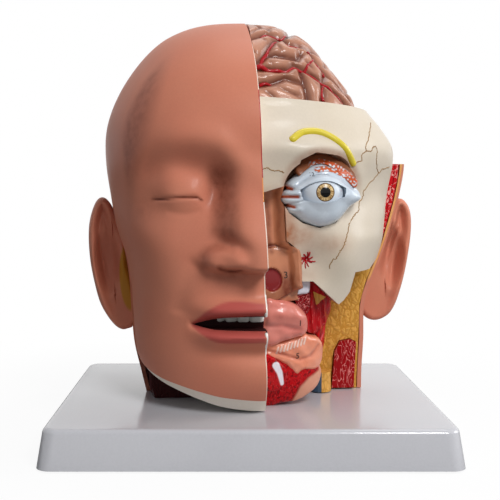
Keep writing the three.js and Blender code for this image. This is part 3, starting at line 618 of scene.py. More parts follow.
def make_fibres():
    """Long strands that run along the grain, with paler threads and white flecks."""
    tree, given, out = new_group("fibres", {
        "Place": ("Vector", None), "Colour": ("Color", None), "Dark": ("Color", None),
        "Pale": ("Color", None), "Grain": ("Vector", (260.0, 260.0, 40.0)), "Flecks": ("Float", 0.3),
    }, {"Colour": "Color", "Height": "Float"})
    drawn = sums(tree, "MULTIPLY", given["Place"], given["Grain"], kind="VectorMath")
    strands = node(tree, "TexNoise", Vector=drawn, Scale=1.6, Detail=3.0, Distortion=0.6).outputs["Fac"]
    threads = node(tree, "TexNoise", Vector=drawn, Scale=4.5, Detail=2.0, Distortion=0.3).outputs["Fac"]
    colour = over(tree, between(tree, strands, 0.52, 0.36), given["Colour"], given["Dark"])
    pale = sums(tree, "MULTIPLY", between(tree, threads, 0.6, 0.72), given["Flecks"])
    fill(tree, out, Colour=over(tree, pale, colour, given["Pale"]),
         Height=sums(tree, "MULTIPLY_ADD", threads, 0.4, strands))
    return tree


def make_squiggles():
    """Short winding lines, like vessels cut across."""
    tree, given, out = new_group("squiggles", {
        "Place": ("Vector", None), "Colour": ("Color", None), "Line": ("Color", None),
        "Grain": ("Vector", (260.0, 260.0, 150.0)), "Width": ("Float", 0.04),
    }, {"Colour": "Color", "Height": "Float"})
    drawn = sums(tree, "MULTIPLY", given["Place"], given["Grain"], kind="VectorMath")
    waves = node(tree, "TexNoise", Vector=drawn, Scale=1.0, Detail=1.5, Distortion=1.2).outputs["Fac"]
    off = sums(tree, "ABSOLUTE", sums(tree, "SUBTRACT", waves, 0.5))
    line = between(tree, off, given["Width"], sums(tree, "MULTIPLY", given["Width"], 1.8), 1.0, 0.0)
    fill(tree, out, Colour=over(tree, line, given["Colour"], given["Line"]), Height=line)
    return tree


LOBES = make_lobes()
SQUIGGLES = make_squiggles()
FIBRES = make_fibres()
print("groups:", sorted(g.name for g in bpy.data.node_groups))

# %% One painted finish
def paint(name, colour, second=None, wash_and_shade=None, size=40.0, amount=0.5, rough=0.35, coat=0.35, bumpy=0.12,
          bump_size=0.0004, pattern=None, tint=None, wash_and_shade_amount=0.85, shine=0.3):
    """A material: the mottled base coat, an optional pattern and second colour, the wash of painted
    shade and a clear coat.
    """
    material, tree, gloss = new_material(name)
    place = node(tree, "TexCoord").outputs["Object"]
    base = use(tree, MOTTLE, Place=place, Colour=linear(colour), Second=linear(second or colour),
               Size=size, Amount=amount, Roughness=rough).outputs
    shown = base["Colour"]
    height = base["Height"]
    if pattern:
        shown, height = pattern(tree, place, shown, height)
    if tint:
        mask = node(tree, "Attribute", {"attribute_name": "tint"}).outputs["Fac"]
        shown = over(tree, mask, shown, linear(tint))
    washed_and_shaded = use(tree, WASH_AND_SHADE, Place=place, Colour=shown, Wash=linear(wash_and_shade or colour), Amount=wash_and_shade_amount)
    relief = node(tree, "Bump", Strength=bumpy, Distance=bump_size, Height=height)
    fill(tree, gloss, Base_Color=washed_and_shaded.outputs[0], Roughness=base["Roughness"], Normal=relief.outputs[0],
         Specular_IOR_Level=shine, Coat_Weight=coat, Coat_Roughness=0.12)
    return material


# The skin's wash colour is the dark red-brown of the shade painted into the face's creases and shaded spots.
SKIN = paint("terracotta skin", "cb7d64", "ce866c", wash_and_shade="561c0c", size=28.0, rough=0.42, coat=0.04,
             tint="b6544c", bumpy=0.04, shine=0.12)


def cut_face(tree, place, shown, height):
    """On the cut face, the gums beside the lips are white."""
    parts = node(tree, "SeparateXYZ", Vector=place)
    up, back = parts.outputs["Z"], parts.outputs["Y"]
    upper = sums(tree, "MULTIPLY", between(tree, up, 0.0735, 0.0745), between(tree, up, 0.086, 0.084))
    lower = sums(tree, "MULTIPLY", between(tree, up, 0.053, 0.0545), between(tree, up, 0.069, 0.068))
    gum = sums(tree, "MULTIPLY", sums(tree, "ADD", upper, lower), between(tree, back, -0.060, -0.062))
    return over(tree, gum, shown, linear("f2f0ee")), height


CORE = paint("cream moulding", "e9e1d4", "e3d8c6", wash_and_shade="b08a60", rough=0.4, pattern=cut_face, coat=0.15)
# Inside the open mouth the walls are painted near black, as the shade there.
MOUTH_SHADE_PAINT = paint("dark inside of the mouth", "240506", "330809", wash_and_shade="120304", rough=0.6, coat=0.0,
                   shine=0.1)
TOOTH = paint("white tooth paint", "f1efe8", "e4e2da", wash_and_shade="b9a58c", rough=0.25, coat=0.6)
BONE = paint("cream bone", "d6cab9", "d0c3ae", wash_and_shade="a05c34", size=45.0, rough=0.42, coat=0.1, bumpy=0.06,
             shine=0.2)
print("first paints:", SKIN.name, CORE.name, TOOTH.name, BONE.name)

# %% [markdown]
# ## The board
#
# The board is one pale grey moulding with drafted sides, rounded corners and a soft top edge. A cube gets
# its draft by scaling the top, and two bevels round the corners and then the top edge, each with more
# segments than the CAD solid has.

# %% Board
BOARD_WIDTH = 214
BOARD_DEPTH = 184
BOARD_DRAFT = 3
BOARD_CORNER = 8
BOARD_EDGE = 2.5
FOOT_PROUD = 1
FOOT_INSET = 22
FOOT_RADIUS = 9
FOOT_SINK = 3
SCREW_CIRCLE = 18
SCREW_HEAD = (5, 8)
SCREW_SHAFT = 2.5
NECK_Y = 22


def round_edges(shape, edges, offset, segments):
    bmesh.ops.bevel(shape, geom=edges, offset=offset, offset_type="OFFSET", segments=segments, profile=0.5,
                    affect="EDGES", material=-1)


def make_board():
    shape = bmesh.new()
    bmesh.ops.create_cube(shape, size=1)
    bmesh.ops.scale(shape, vec=(BOARD_WIDTH, BOARD_DEPTH, BOARD_TOP - FOOT_PROUD), verts=shape.verts)
    bmesh.ops.translate(shape, vec=(0, 0, (BOARD_TOP + FOOT_PROUD) / 2), verts=shape.verts)
    top = [v for v in shape.verts if v.co.z > BOARD_TOP / 2]
    narrowing = (1 - 2 * BOARD_DRAFT / BOARD_WIDTH, 1 - 2 * BOARD_DRAFT / BOARD_DEPTH, 1)
    bmesh.ops.scale(shape, vec=narrowing, verts=top)
    upright = [e for e in shape.edges if abs(e.verts[0].co.z - e.verts[1].co.z) > 1]
    round_edges(shape, upright, BOARD_CORNER, 10)
    round_edges(shape, [e for e in shape.edges if all(v.co.z > BOARD_TOP - 0.01 for v in e.verts)],
                BOARD_EDGE, 6)
    board = new_object("board", shape)
    seats = [(sx * (BOARD_WIDTH / 2 - FOOT_INSET), sy * (BOARD_DEPTH / 2 - FOOT_INSET))
             for sx in (-1, 1) for sy in (-1, 1)]
    remove(board, *[rod((x, y, 0), (x, y, FOOT_SINK + GAP), FOOT_RADIUS + GAP) for x, y in seats])
    turns = [math.pi / 2 + k * 2 * math.pi / 3 for k in range(3)]
    bores = [(HEAD_X + SCREW_CIRCLE * math.cos(a),
              HEAD_Y + NECK_Y + SCREW_CIRCLE * math.sin(a)) for a in turns]
    radius, sink = SCREW_HEAD
    remove(board, *[rod((x, y, 0), (x, y, sink + GAP), radius + GAP) for x, y in bores])
    remove(board, *[rod((x, y, 7), (x, y, 30), SCREW_SHAFT + GAP) for x, y in bores])
    return put_on_board(board, "stand", "board", "base_board", BOARD_PAINT, place=Matrix.Scale(MM, 4))


BOARD_PAINT = paint("pale grey board", "c2c2c7", "c8c8cd", wash_and_shade="8b8c92", size=9.0, amount=0.5, rough=0.2,
                    coat=0.5, bumpy=0.02)
board = make_board()
print("board:", [round(v, 4) for v in board.dimensions])

# %% [markdown]
# ## The face
#
# The face is the piece that is looked at first. It is a mannequin's: closed eye, long nose, full lips a
# little apart. It is drawn as relief over the head's sections, in real millimetres: each swell or hollow is
# a bell curve or a smooth step, and creases are measured from a line across the surface. The same lines
# give the masks for the painted lips and for the shade that is painted into the creases.

# %% Distances to a line on the face
def to_line(x, h, line, margin=14):
    """The distance of (x, h) from a line of points, and the share of the line up to the nearest place.

    Only points within a margin of the line's box are measured; the others count as lying beyond it.
    """
    line = np.asarray(line, float)
    low, high = line.min(axis=0) - margin, line.max(axis=0) + margin
    close = (x > low[0]) & (x < high[0]) & (h > low[1]) & (h < high[1])
    gaps = np.full(x.shape, 1e3)
    shares = np.zeros(x.shape)
    x, h = x[close], h[close]
    nearest = np.full(x.shape, 1e9)
    along = np.zeros(x.shape)
    lengths = np.hypot(*(line[1:] - line[:-1]).T)
    total = lengths.sum()
    run = 0
    for (x0, h0), (x1, h1), length in zip(line[:-1], line[1:], lengths):
        t = np.clip(((x - x0) * (x1 - x0) + (h - h0) * (h1 - h0)) / length**2, 0, 1)
        gap = np.hypot(x - x0 - t * (x1 - x0), h - h0 - t * (h1 - h0))
        better = gap < nearest
        nearest = np.where(better, gap, nearest)
        along = np.where(better, (run + t * length) / total, along)
        run += length
    gaps[close] = nearest
    shares[close] = along
    return gaps, shares


def smooth_line(points, steps=12, closed=False):
    """A smooth curve through points, as many points."""
    table = np.asarray(points, float)
    count = len(table)
    if closed:
        table = np.concatenate([table[-1:], table, table[:2]])
        t = (1 + np.arange(count * steps) / steps) / (len(table) - 1)
    else:
        t = np.linspace(0, 1, (count - 1) * steps + 1)
    return station(table, t)


def looped(line):
    """A line closed by its first point."""
    return np.concatenate([line, line[:1]])


def by_line(x, h, line, width, power=2):
    """1 on a line, fading over a width beside it."""
    return bell(to_line(x, h, line)[0], width, power)


print("distance test:", to_line(np.array([0.0]), np.array([1.0]), [(-1, 0), (1, 0)])[0])

# %% The relief of the face
EYE_SLIT = smooth_line([(-57.6, 112.5), (-50, 113.3), (-43, 113.9), (-37, 114.3), (-33, 114.1),
                        (-30.8, 112.9)])
LOWER_LID = smooth_line([(-50, 107.5), (-42, 105.8), (-35, 106.3), (-30, 108)])
WING_CREASE = smooth_line([(-31, 79.5), (-31.4, 84), (-28.5, 88), (-22.5, 90), (-15, 89)])
NOSTRIL = smooth_line([(-25.5, 80.3), (-22, 78.2), (-16, 77.4), (-10.5, 78.8)])
CHEEK_FOLD = smooth_line([(-33.5, 84), (-39, 74), (-43.5, 62), (-45, 52)])
UPPER_LIP = smooth_line([(-38.6, 48.6), (-34.5, 53), (-30.5, 57), (-24.5, 60.6), (-18.5, 62.2), (-12, 62.2),
                         (-6, 61.6), (-1, 61.2)])
LOWER_LIP = smooth_line([(-38.6, 48.6), (-34.4, 45), (-28, 41.4), (-21, 40), (-10, 40.4), (-1, 40.8)])
TEMPLE_RIDGE = np.array([(-71.5, 92), (-69.5, 107), (-66.3, 123), (-60.8, 139), (-55, 155), (-51.4, 168),
                         (-46.7, 183), (-41, 196)])
MOUTH_TOP = smooth_line([(-37.5, 48.9), (-31, 51.2), (-24, 52.9), (-12, 53.8), (2, 54)])
MOUTH_BOTTOM = smooth_line([(2, 46.6), (-12, 46.7), (-24, 46.9), (-31, 47.5), (-37.5, 48.9)])


def crease(x, h, line, depth, width):
    """A soft furrow that fades out at both ends of its line."""
    gap, along = to_line(x, h, line)
    return -depth * bell(gap, width) * ease(0, 0.16, along) * ease(1, 0.86, along)


def behind_temple(x, h):
    """How far (x, h) lies to the right of the temple's ridge."""
    return np.interp(h, TEMPLE_RIDGE[:, 1], TEMPLE_RIDGE[:, 0]) - x


def temple_relief(x, h):
    """The head's side falls away behind the temple's ridge, and the face is a little hollow before it."""
    behind = behind_temple(x, h)
    fade = ease(200, 180, h) * ease(88, 100, h)
    hollow = np.where(x < 0, 2.2 * bump(x, -55, 7) * bump(h, 118, 18), 0)
    return -fade * (2.4 * ease(-4, 9, behind) + 2.7 * ease(3, 22, behind)) - hollow


def face_relief(x, h):
    side = np.abs(x)
    reach = 17 * ease(138, 82, h) ** 0.85 * ease(75, 79.5, h)
    half = 16.5 + 4 * ease(126, 108, h) - 5.5 * ease(100, 86, h)
    nose = reach * bell(side, half, 5 - 2 * ease(98, 88, h))
    wing = 9.5 * mound(side, h, (22, 82.5), (10.5, np.where(h < 82.5, 5.5, 8)), 2)
    brow_line = 144 - 10 * ((side - 38) / 26) ** 2
    brow = 3.2 * bell(h - brow_line, 9) * ease(68, 40, side) * (0.3 + 0.7 * ease(3, 22, side))
    socket = -6.5 * bump(side, 35, 17) * bump(h, 125, 12) - 4.5 * bump(side, 23, 6.5) * bump(h, 119, 13)
    lid = 6.5 * mound(side, h, (43, 118.5), (14.5, 9.5), 1.25)
    cheek = 5.5 * bump(side, 54, 15) * bump(h, 88, 20)
    lips = ease(43, 24, side) * (5.4 * bump(h, 57, 5.2) + 6 * bump(h, 43.6, 4.9))
    philtrum = -1.1 * bump(side, 0, 3.5) * bump(h, 67, 5)
    chin = 3.8 * bump(h, 19, 11) * bump(side, 0, 23) - 2.6 * bump(h, 33.5, 4.6) * bump(side, 0, 26)
    return nose + wing + brow + socket + lid + cheek + lips + philtrum + chin + temple_relief(x, h)


def to_mouth(x, h):
    """The distance from the rim of the open mouth."""
    return np.minimum(to_line(x, h, MOUTH_TOP)[0], to_line(x, h, MOUTH_BOTTOM)[0])


def face_creases(x, h):
    lines = crease(x, h, EYE_SLIT, 1.2, 0.8) + crease(x, h, LOWER_LID, 0.4, 1.8)
    lines = lines + crease(x, h, WING_CREASE, 1.5, 2.6) + crease(x, h, NOSTRIL, 1.9, 1.2)
    lines = np.maximum(lines, -2.0) + crease(x, h, CHEEK_FOLD, 1.0, 4)
    ridge = 0.5 * by_line(x, h, UPPER_LIP, 0.9) + 0.3 * by_line(x, h, LOWER_LIP, 0.9)
    return lines - 2.6 * bell(to_mouth(x, h), 1.7) + ridge


def mask_surface(x, h):
    return np.where(x < 3, face_relief(x, h) + face_creases(x, h), 0)


print("nose reach at the tip:", round(float(face_relief(np.array([0.0]), np.array([85.0]))[0]), 1), "mm")

# %% Masks for the lips and the painted shade
def inside(x, h, outline):
    """Whether points lie within an outline."""
    within = np.zeros(x.shape, bool)
    for (x0, h0), (x1, h1) in zip(outline, np.roll(outline, -1, axis=0)):
        spans = (h0 > h) != (h1 > h)
        with np.errstate(divide="ignore", invalid="ignore"):
            crossing = (x1 - x0) * (h - h0) / (h1 - h0) + x0
        within ^= spans & (x < crossing)
    return within


def depth_inside(x, h, outline):
    """The distance from an outline, above 0 inside it."""
    edge = to_line(x, h, outline)[0]
    return np.where(inside(x, h, outline), edge, -edge)


LIPS = np.concatenate([UPPER_LIP, LOWER_LIP[::-1]])
FACE_BACK = -40


def face_masks(piece):
    """Writes where the lips are tinted, and where shade is painted on: in the creases, beside and under
    the nose, around the eye and the mouth, and behind the temple's ridge.
    """
    x, y, h = corners(piece.data).T
    write_attribute(piece, "tint", ease(-0.5, 0.9, depth_inside(x, h, LIPS)) * (y < FACE_BACK))
    slit, along_slit = to_line(x, h, EYE_SLIT)
    wing, along_wing = to_line(x, h, WING_CREASE)
    nostril, along_nostril = to_line(x, h, NOSTRIL)
    wash_and_shade = sum([
        bell(slit, 0.6) * ease(-0.02, 0.12, along_slit),
        0.35 * bell(wing, 2.6) * ease(1, 0.7, along_wing),
        0.35 * bump(x, -23, 5) * bump(h, 121, 11),
        0.45 * bump(x, -18, 12) * bump(h, 75, 4),
        0.48 * bell(x + 20, 7.5, 4) * ease(88, 97, h) * ease(136, 124, h),
        0.3 * bump(x, -61, 7) * bump(h, 107, 7),
        0.2 * bump(x, -57, 9) * bump(h, 128, 9),
        0.55 * ease(-4, 8, behind_temple(x, h)) * ease(200, 176, h) * ease(92, 106, h) * ease(-40, -48, y),
        0.75 * bell(nostril, 1.0) * ease(0, 0.2, along_nostril) * ease(1, 0.75, along_nostril),
        0.45 * bell(to_mouth(x, h), 1.1),
    ])
    write_attribute(piece, "hollow", np.clip(wash_and_shade, 0, 1) * (y < FACE_BACK))


print("lip outline has", len(LIPS), "points")

# %% [markdown]
# ## The mask
#
# The mask is a skin 2.4 mm thick over a cream core, which shows as a fine rim down the middle of the face
# and along the jaw. Both are the head's ball, cut by the same prisms as in the CAD model: behind the back
# edge, below the jaw and around the mouth.

# %% Cuts of the mask
SKIN_WALL = 2.4
JAW_RIM = 7.4
MASK_EDGE = 0.9
EAR_NOTCH = 97
MASK_BACK = [(0, SKY), (0, 180), (-4, 150), (-9, 130), (-12, 114), (-13, EAR_NOTCH), (-20, 79), (-22, 60),
             (-20, 30), (-20, -20)]
JAW_LINE = [(-90, 36), (-70, 27), (-64, 19.2), (-55, 14.3), (-45, 10.7), (-34, 6.8), (-23, 3.4), (-8, 1.3),
            (2, 1.3)]
MOUTH_BACK = -63
MASK_PINS = [(-44, -22, 60), (-72, -6, 141)]
PIN_RADIUS = 3
PIN_REACH = 14


def smoothed(line, first, last, steps=8):
    """The line with its middle part as a smooth curve."""
    middle = smooth_line(line[first:last], steps).tolist()
    return list(line[:first]) + middle + list(line[last:])


MASK_BACK_LINE = smoothed(MASK_BACK, 1, 9)
JAW_CURVE = smoothed(JAW_LINE, 0, 9)


def beside_mask_edge(way):
    """What lies before the mask's back edge, where way is -1, or behind it, where way is 1."""
    line = [(y + way * HALF, h) for y, h in MASK_BACK_LINE]
    return prism(line + [(way * BEYOND, -20), (way * BEYOND, SKY)], -BEYOND, -HALF, "x")


def above_jaw(rise):
    rim = [(x, h + rise * float(ease(-75, -8, x) * 0.75 + 0.25)) for x, h in JAW_CURVE]
    return prism(rim + [(2, SKY), (-90, SKY)], -BEYOND, BEYOND)


def mouth_room():
    return prism(np.concatenate([MOUTH_BOTTOM, MOUTH_TOP[:-1]]).tolist(), -BEYOND, MOUTH_BACK)


def pin_holes():
    reach = PIN_REACH + GAP
    return [rod((x, y - reach, h), (x, y + reach, h), PIN_RADIUS + GAP) for x, y, h in MASK_PINS]


print("mask's back edge:", len(MASK_BACK_LINE), "points")

# %% Skin of the mask
def inner_relief(x, h):
    """The skin is thicker behind the corner of the eye and the wing of the nose, where it turns sharply."""
    deep = bump(x, -30, 9) * bump(h, 112, 9) + bump(x, -30, 6) * bump(h, 84, 9)
    return face_relief(x, h) - 1.5 * np.clip(deep, 0, 1)


face_skin = head_ball("mask_skin", 0, 420, 260, mask_surface, crowd=0.3)
remove(face_skin, head_ball("inner", SKIN_WALL, 200, 150, inner_relief))
keep(face_skin, beside_mask_edge(-1), block(-BEYOND, -MASK_EDGE, -BEYOND, BEYOND, 0, SKY), above_jaw(JAW_RIM))
remove(face_skin, mouth_room())
face_masks(face_skin)
put_on_board(face_skin, "face_mask", "skin", "face_skin", SKIN, sharp=50)

# %% [markdown]
# The core fills the mask behind its skin. The room for the right half of the brain, the two rows of teeth
# and the pins is cut out of it. The walls of its open mouth get a second, near-black paint: painted shade.

# %% Core of the mask
BRAIN_Y = 4
BRAIN_HEIGHT = 140
BRAIN_WIDTH = 64.5
BRAIN_IN_WELL = 61.5
BRAIN_FRONT = 61
BRAIN_BACK = 65
BRAIN_UP = 72.3
BRAIN_DOWN = 40
BRAIN_ROUND = 2.5
BRAIN_FLOOR = 112
FRONTAL_FLOOR = 141
FRONTAL_BACK = -26
FISSURE = 0.5
RIGHT_UNDER = 5.5
LIFT = 1
UPPER_ROW = (51.4, 61)
LOWER_ROW = (34.5, 47.3)
TOOTH_INSET = 9
TOOTH_SIDE = 25
TOOTH_BACK = -62


def brain_surface(way, grow=0.0):
    """The brain, a rounded box about its middle, in each direction, moved out by grow. Works on arrays."""
    grow = np.broadcast_to(grow, way.shape[:-1])
    reach = np.stack([BRAIN_WIDTH + grow, np.where(way[..., 1] < 0, BRAIN_FRONT, BRAIN_BACK) + grow,
                      np.where(way[..., 2] < 0, BRAIN_DOWN, BRAIN_UP) + grow], axis=-1)
    size = (np.abs(way / reach) ** BRAIN_ROUND).sum(axis=-1) ** (-1 / BRAIN_ROUND)
    return way * size[..., None] + (0, BRAIN_Y, BRAIN_HEIGHT)


def brain_ball(name, grow, columns, rows):
    shape = ball_shape(columns, rows)
    move_corners(shape, brain_surface(corners(shape), grow))
    return new_object(name, shape)


def half_room(side, grow, drop):
    """The room that one half of the brain needs; side is 1 for the left half."""
    piece = brain_ball("room", grow if side > 0 else grow - RIGHT_UNDER, 64, 40)
    near = FISSURE - grow / 2 if side > 0 else -BEYOND
    far = BEYOND if side > 0 else grow / 2 - FISSURE
    keep(piece, block(near, far, -BEYOND, BEYOND, BRAIN_FLOOR - drop, SKY))
    return remove(piece, block(-BEYOND, BEYOND, -BEYOND, FRONTAL_BACK - drop, 0, FRONTAL_FLOOR - drop))


def tooth_room(row, grow):
    low, high = row
    return keep(head_ball("teeth", TOOTH_INSET - grow, 120, 120),
                block(-TOOTH_SIDE - grow, grow - HALF, -BEYOND, TOOTH_BACK + grow, low - grow, high + grow))


mask_core = head_ball("mask_core_moulding", SKIN_WALL + GAP, 200, 140, face_relief, crowd=0.2)
keep(mask_core, beside_mask_edge(-1), above_jaw(0))
remove(mask_core, mouth_room(), half_room(-1, LIFT, GAP))
remove(mask_core, tooth_room(UPPER_ROW, GAP), tooth_room(LOWER_ROW, GAP))
remove(mask_core, *pin_holes())


def faces_of(piece):
    """The middles and the normals of a piece's faces."""
    faces = piece.data.polygons
    return np.array([f.center[:] for f in faces]).T, np.array([f.normal[:] for f in faces]).T


def mouth_faces(piece):
    """The walls of the mouth, which are painted near black as shade; the cut down the middle of the face is
    not one of them.
    """
    (x, y, h), normals = faces_of(piece)
    return (np.abs(normals[0]) < 0.95) & (x > -42) & (h > 33) & (h < 62) & (y > -86) & (y < MOUTH_BACK + 3)


in_mouth = mouth_faces(mask_core)
put_on_board(mask_core, "face_mask", "bone", "mask_core", CORE, MOUTH_SHADE_PAINT)
mask_core.data.polygons.foreach_set("material_index", in_mouth.astype(int))
print("dark faces in the mouth:", int(in_mouth.sum()))

# %% [markdown]
# ## Teeth
#
# Each tooth is a rounded block with a soft biting edge. A ball is squared off with a power, which gives the
# swelling front and the gaps between neighbours, and a row of them follows the curve of the gums.

# %% Rows of teeth
def tooth(shape, centre, size, lean, tip):
    """Adds one tooth; tip is -1 for an upper tooth, whose edge points down, and 1 for a lower one."""
    made = bmesh.ops.create_uvsphere(shape, u_segments=20, v_segments=14, radius=1)["verts"]
    for corner in made:
        x, y, h = corner.co
        squared = (abs(x) ** 7 + abs(y) ** 7 + abs(h) ** 7) ** (-1 / 7)
        x, y, h = x * squared, y * squared, h * squared
        narrow = 1 - 0.16 * (1 - h * tip) / 2
        flat = 1 - 0.35 * max(0, h * tip)
        corner.co = (x * size[0] * narrow, y * size[1] * flat, h * size[2])
    bmesh.ops.rotate(shape, matrix=Matrix.Rotation(lean, 3, "Z"), verts=made)
    bmesh.ops.translate(shape, vec=centre, verts=made)


def tooth_row(name, row, tip, widths, node_name):
    low, high = row
    shape = bmesh.new()
    middle = (low + high) / 2
    front, _, right = row_at(SECTIONS, middle)[1:4]
    x = -HALF - 0.15
    for width in widths:
        centre = x - width / 2
        reach = (1 - (abs(centre) / (right - TOOTH_INSET)) ** SECTION_ROUND) ** (1 / SECTION_ROUND)
        y = -(front - TOOTH_INSET) * reach
        slope = math.atan2(abs(centre) * 0.55, right - TOOTH_INSET)
        tooth(shape, (centre, y + 3.3, middle), (width / 2 * 1.05, 3.2, (high - low) / 2 - 0.1), slope, tip)
        x -= width
    return put_on_board(new_object(name, shape), "face_mask", "tooth", node_name, TOOTH, sharp=60)


tooth_row("upper_tooth_row", (49.4, 60.5), -1, (7.6, 6.4, 6.2, 4.4), "upper_teeth")
tooth_row("lower_tooth_row", (34.5, 43.2), 1, (5.8, 5.8, 6.2, 6.4), "lower_teeth")

# %% [markdown]
# ## The back of the head
#
# The skin behind the mask is one shell that ends in a step at each ear. On the opened side it stops below
# the rim of the skull. It is the plain head's ball again, without relief.

# %% Rear skin
LEFT_SKIN_TOP = 133
rear = head_ball("rear_scalp", 0, 220, 160)
remove(rear, head_ball("inner", SKIN_WALL, 120, 90))
upper_right = beside_mask_edge(1)
keep(upper_right, block(-BEYOND, -HALF, -40, BEYOND, EAR_NOTCH, SKY))
keep(rear, join(upper_right, block(-BEYOND, HALF, 0, BEYOND, GAP, EAR_NOTCH + 1),
                block(-HALF, BEYOND, 0, BEYOND, GAP, LEFT_SKIN_TOP)))


def section_faces(piece):
    """The step beside the opened temple, where the fat under the skin shows."""
    (x, y, h), normals = faces_of(piece)
    return (x > 40) & (y < 0.6) & (normals[1] < -0.9) & (h > 62)


x, y, h = corners(rear.data).T
# Low on the right front of the neck, below the jaw, the skin is painted dark as the shadow there.
write_attribute(rear, "hollow", 0.85 * ease(-40, -48, x) * ease(27, 20, h) * ease(14, 6, y))
step_faces = section_faces(rear)


def step_pattern(tree, place, shown, height):
    """Below the bone, and along the outer edge, the step has the colour of the skin."""
    parts = node(tree, "SeparateXYZ", Vector=place)
    up = parts.outputs["Z"]
    heights = np.linspace(62, LEFT_SKIN_TOP, 20)
    rim = [head_matrix() @ Vector((row_at(SECTIONS, h)[4], 0, h)) for h in heights]
    bend, slope, start = np.polyfit([p.z for p in rim], [p.x for p in rim], 2)
    curve = sums(tree, "MULTIPLY_ADD", sums(tree, "MULTIPLY_ADD", up, bend, slope), up, start)
    inward = sums(tree, "SUBTRACT", curve, parts.outputs["X"])
    outer = between(tree, inward, 0.0011, 0.0013, 1.0, 0.0)
    low = between(tree, up, 0.084, 0.088, 1.0, 0.0)
    return over(tree, sums(tree, "MAXIMUM", outer, low), shown, linear("cb8068")), height


CHEEK_FAT = paint("orange fat layer", "dfa05a", "e8b074", wash_and_shade="a8702c", size=120.0, rough=0.35, coat=0.1,
                  pattern=step_pattern)
put_on_board(rear, "stand", "skin", "rear_skin", SKIN, CHEEK_FAT, sharp=50)
rear.data.polygons.foreach_set("material_index", step_faces.astype(int))
print("faces of the fat at the temple:", int(step_faces.sum()))

# %% [markdown]
# ## Ears
#
# An ear is a plate with a rolled rim, a second ridge inside it, a deep bowl and a soft lobe. The plate
# starts as a grid of rings and spokes that is fitted to the ear's outline, and its front is then drawn up
# and pressed in by how near each corner is to the rim. The back stays plain.

# %% A slab on rings and spokes
def even_outline(outline, steps, count):
    """The smooth closed line through an outline, as points at even distances."""
    edge = looped(smooth_line(outline, steps, closed=True))
    lengths = np.concatenate([[0], np.cumsum(np.hypot(*(edge[1:] - edge[:-1]).T))])
    spread = np.linspace(0, lengths[-1], count, endpoint=False)
    return np.stack([np.interp(spread, lengths, edge[:, k]) for k in (0, 1)], axis=-1)


def spoke_grid(spokes, rings):
    """A grid, with each corner's spoke and its share of the way over the rings."""
    shape = bmesh.new()
    bmesh.ops.create_grid(shape, x_segments=spokes, y_segments=rings, size=1)
    across, up = (corners(shape)[:, :2].T + 1) / 2
    return shape, np.rint(across * spokes).astype(int) % spokes, up


def slab(name, outline, front, back, rings, spokes, round_off):
    """A closed body over an outline in (x, h), from front, a y at each (x, h), to a flat back."""
    edge = even_outline(outline, 16, spokes)
    middle = edge.mean(axis=0)
    reach = np.hypot(*(edge - middle).T)
    rows = 2 * rings + 2
    shape, spoke, up = spoke_grid(spokes, rows)
    row = np.rint(up * rows).astype(int)
    step = np.where(row <= rings, row / rings, np.where(row >= rows - rings, (rows - row) / rings, 1.0))
    size = np.clip(np.sin(step * math.pi / 2) ** 0.8 * 0.35 + step * 0.65, 0, 1)
    x, h = (middle + (edge[spoke] - middle) * size[:, None]).T
    inward = (1 - size) * reach[spoke]
    drop = round_off * (1 - np.sqrt(1 - np.clip(1 - inward / round_off, 0, 1) ** 2))
    y_front = front(x, h) + drop
    y_back = back - drop
    y = np.where(row <= rings, y_front, np.where(row >= rows - rings, y_back, (y_front + y_back) / 2))
    move_corners(shape, np.stack([x, y, h], axis=-1))
    bmesh.ops.remove_doubles(shape, verts=shape.verts, dist=0.005)
    return new_object(name, shape)


EAR_BACK = 14
EAR_FRONT = 6.6
EARS = {
    "left": {"outline": [(77, 78), (84, 100), (88, 111), (94, 112), (98, 104), (97.5, 88), (93, 66), (86, 46),
                         (77, 39.5), (69, 42), (66, 52)], "bowl": (84.5, 79), "side": 1, "dark": 0.08},
    "right": {"outline": [(-73, 84), (-78, 104), (-83.5, 113), (-89, 111), (-93.5, 98), (-94, 80),
                          (-91.5, 62), (-88, 49), (-81, 38), (-74.5, 35.5), (-69, 43)], "bowl": (-83, 76),
              "side": -1, "dark": 0.14},
}
EAR_SKIN = paint("terracotta ear", "cf8168", "d28a70", wash_and_shade="561c0c", size=28.0, rough=0.42, coat=0.04,
                 tint="b8802c", bumpy=0.04, shine=0.12)


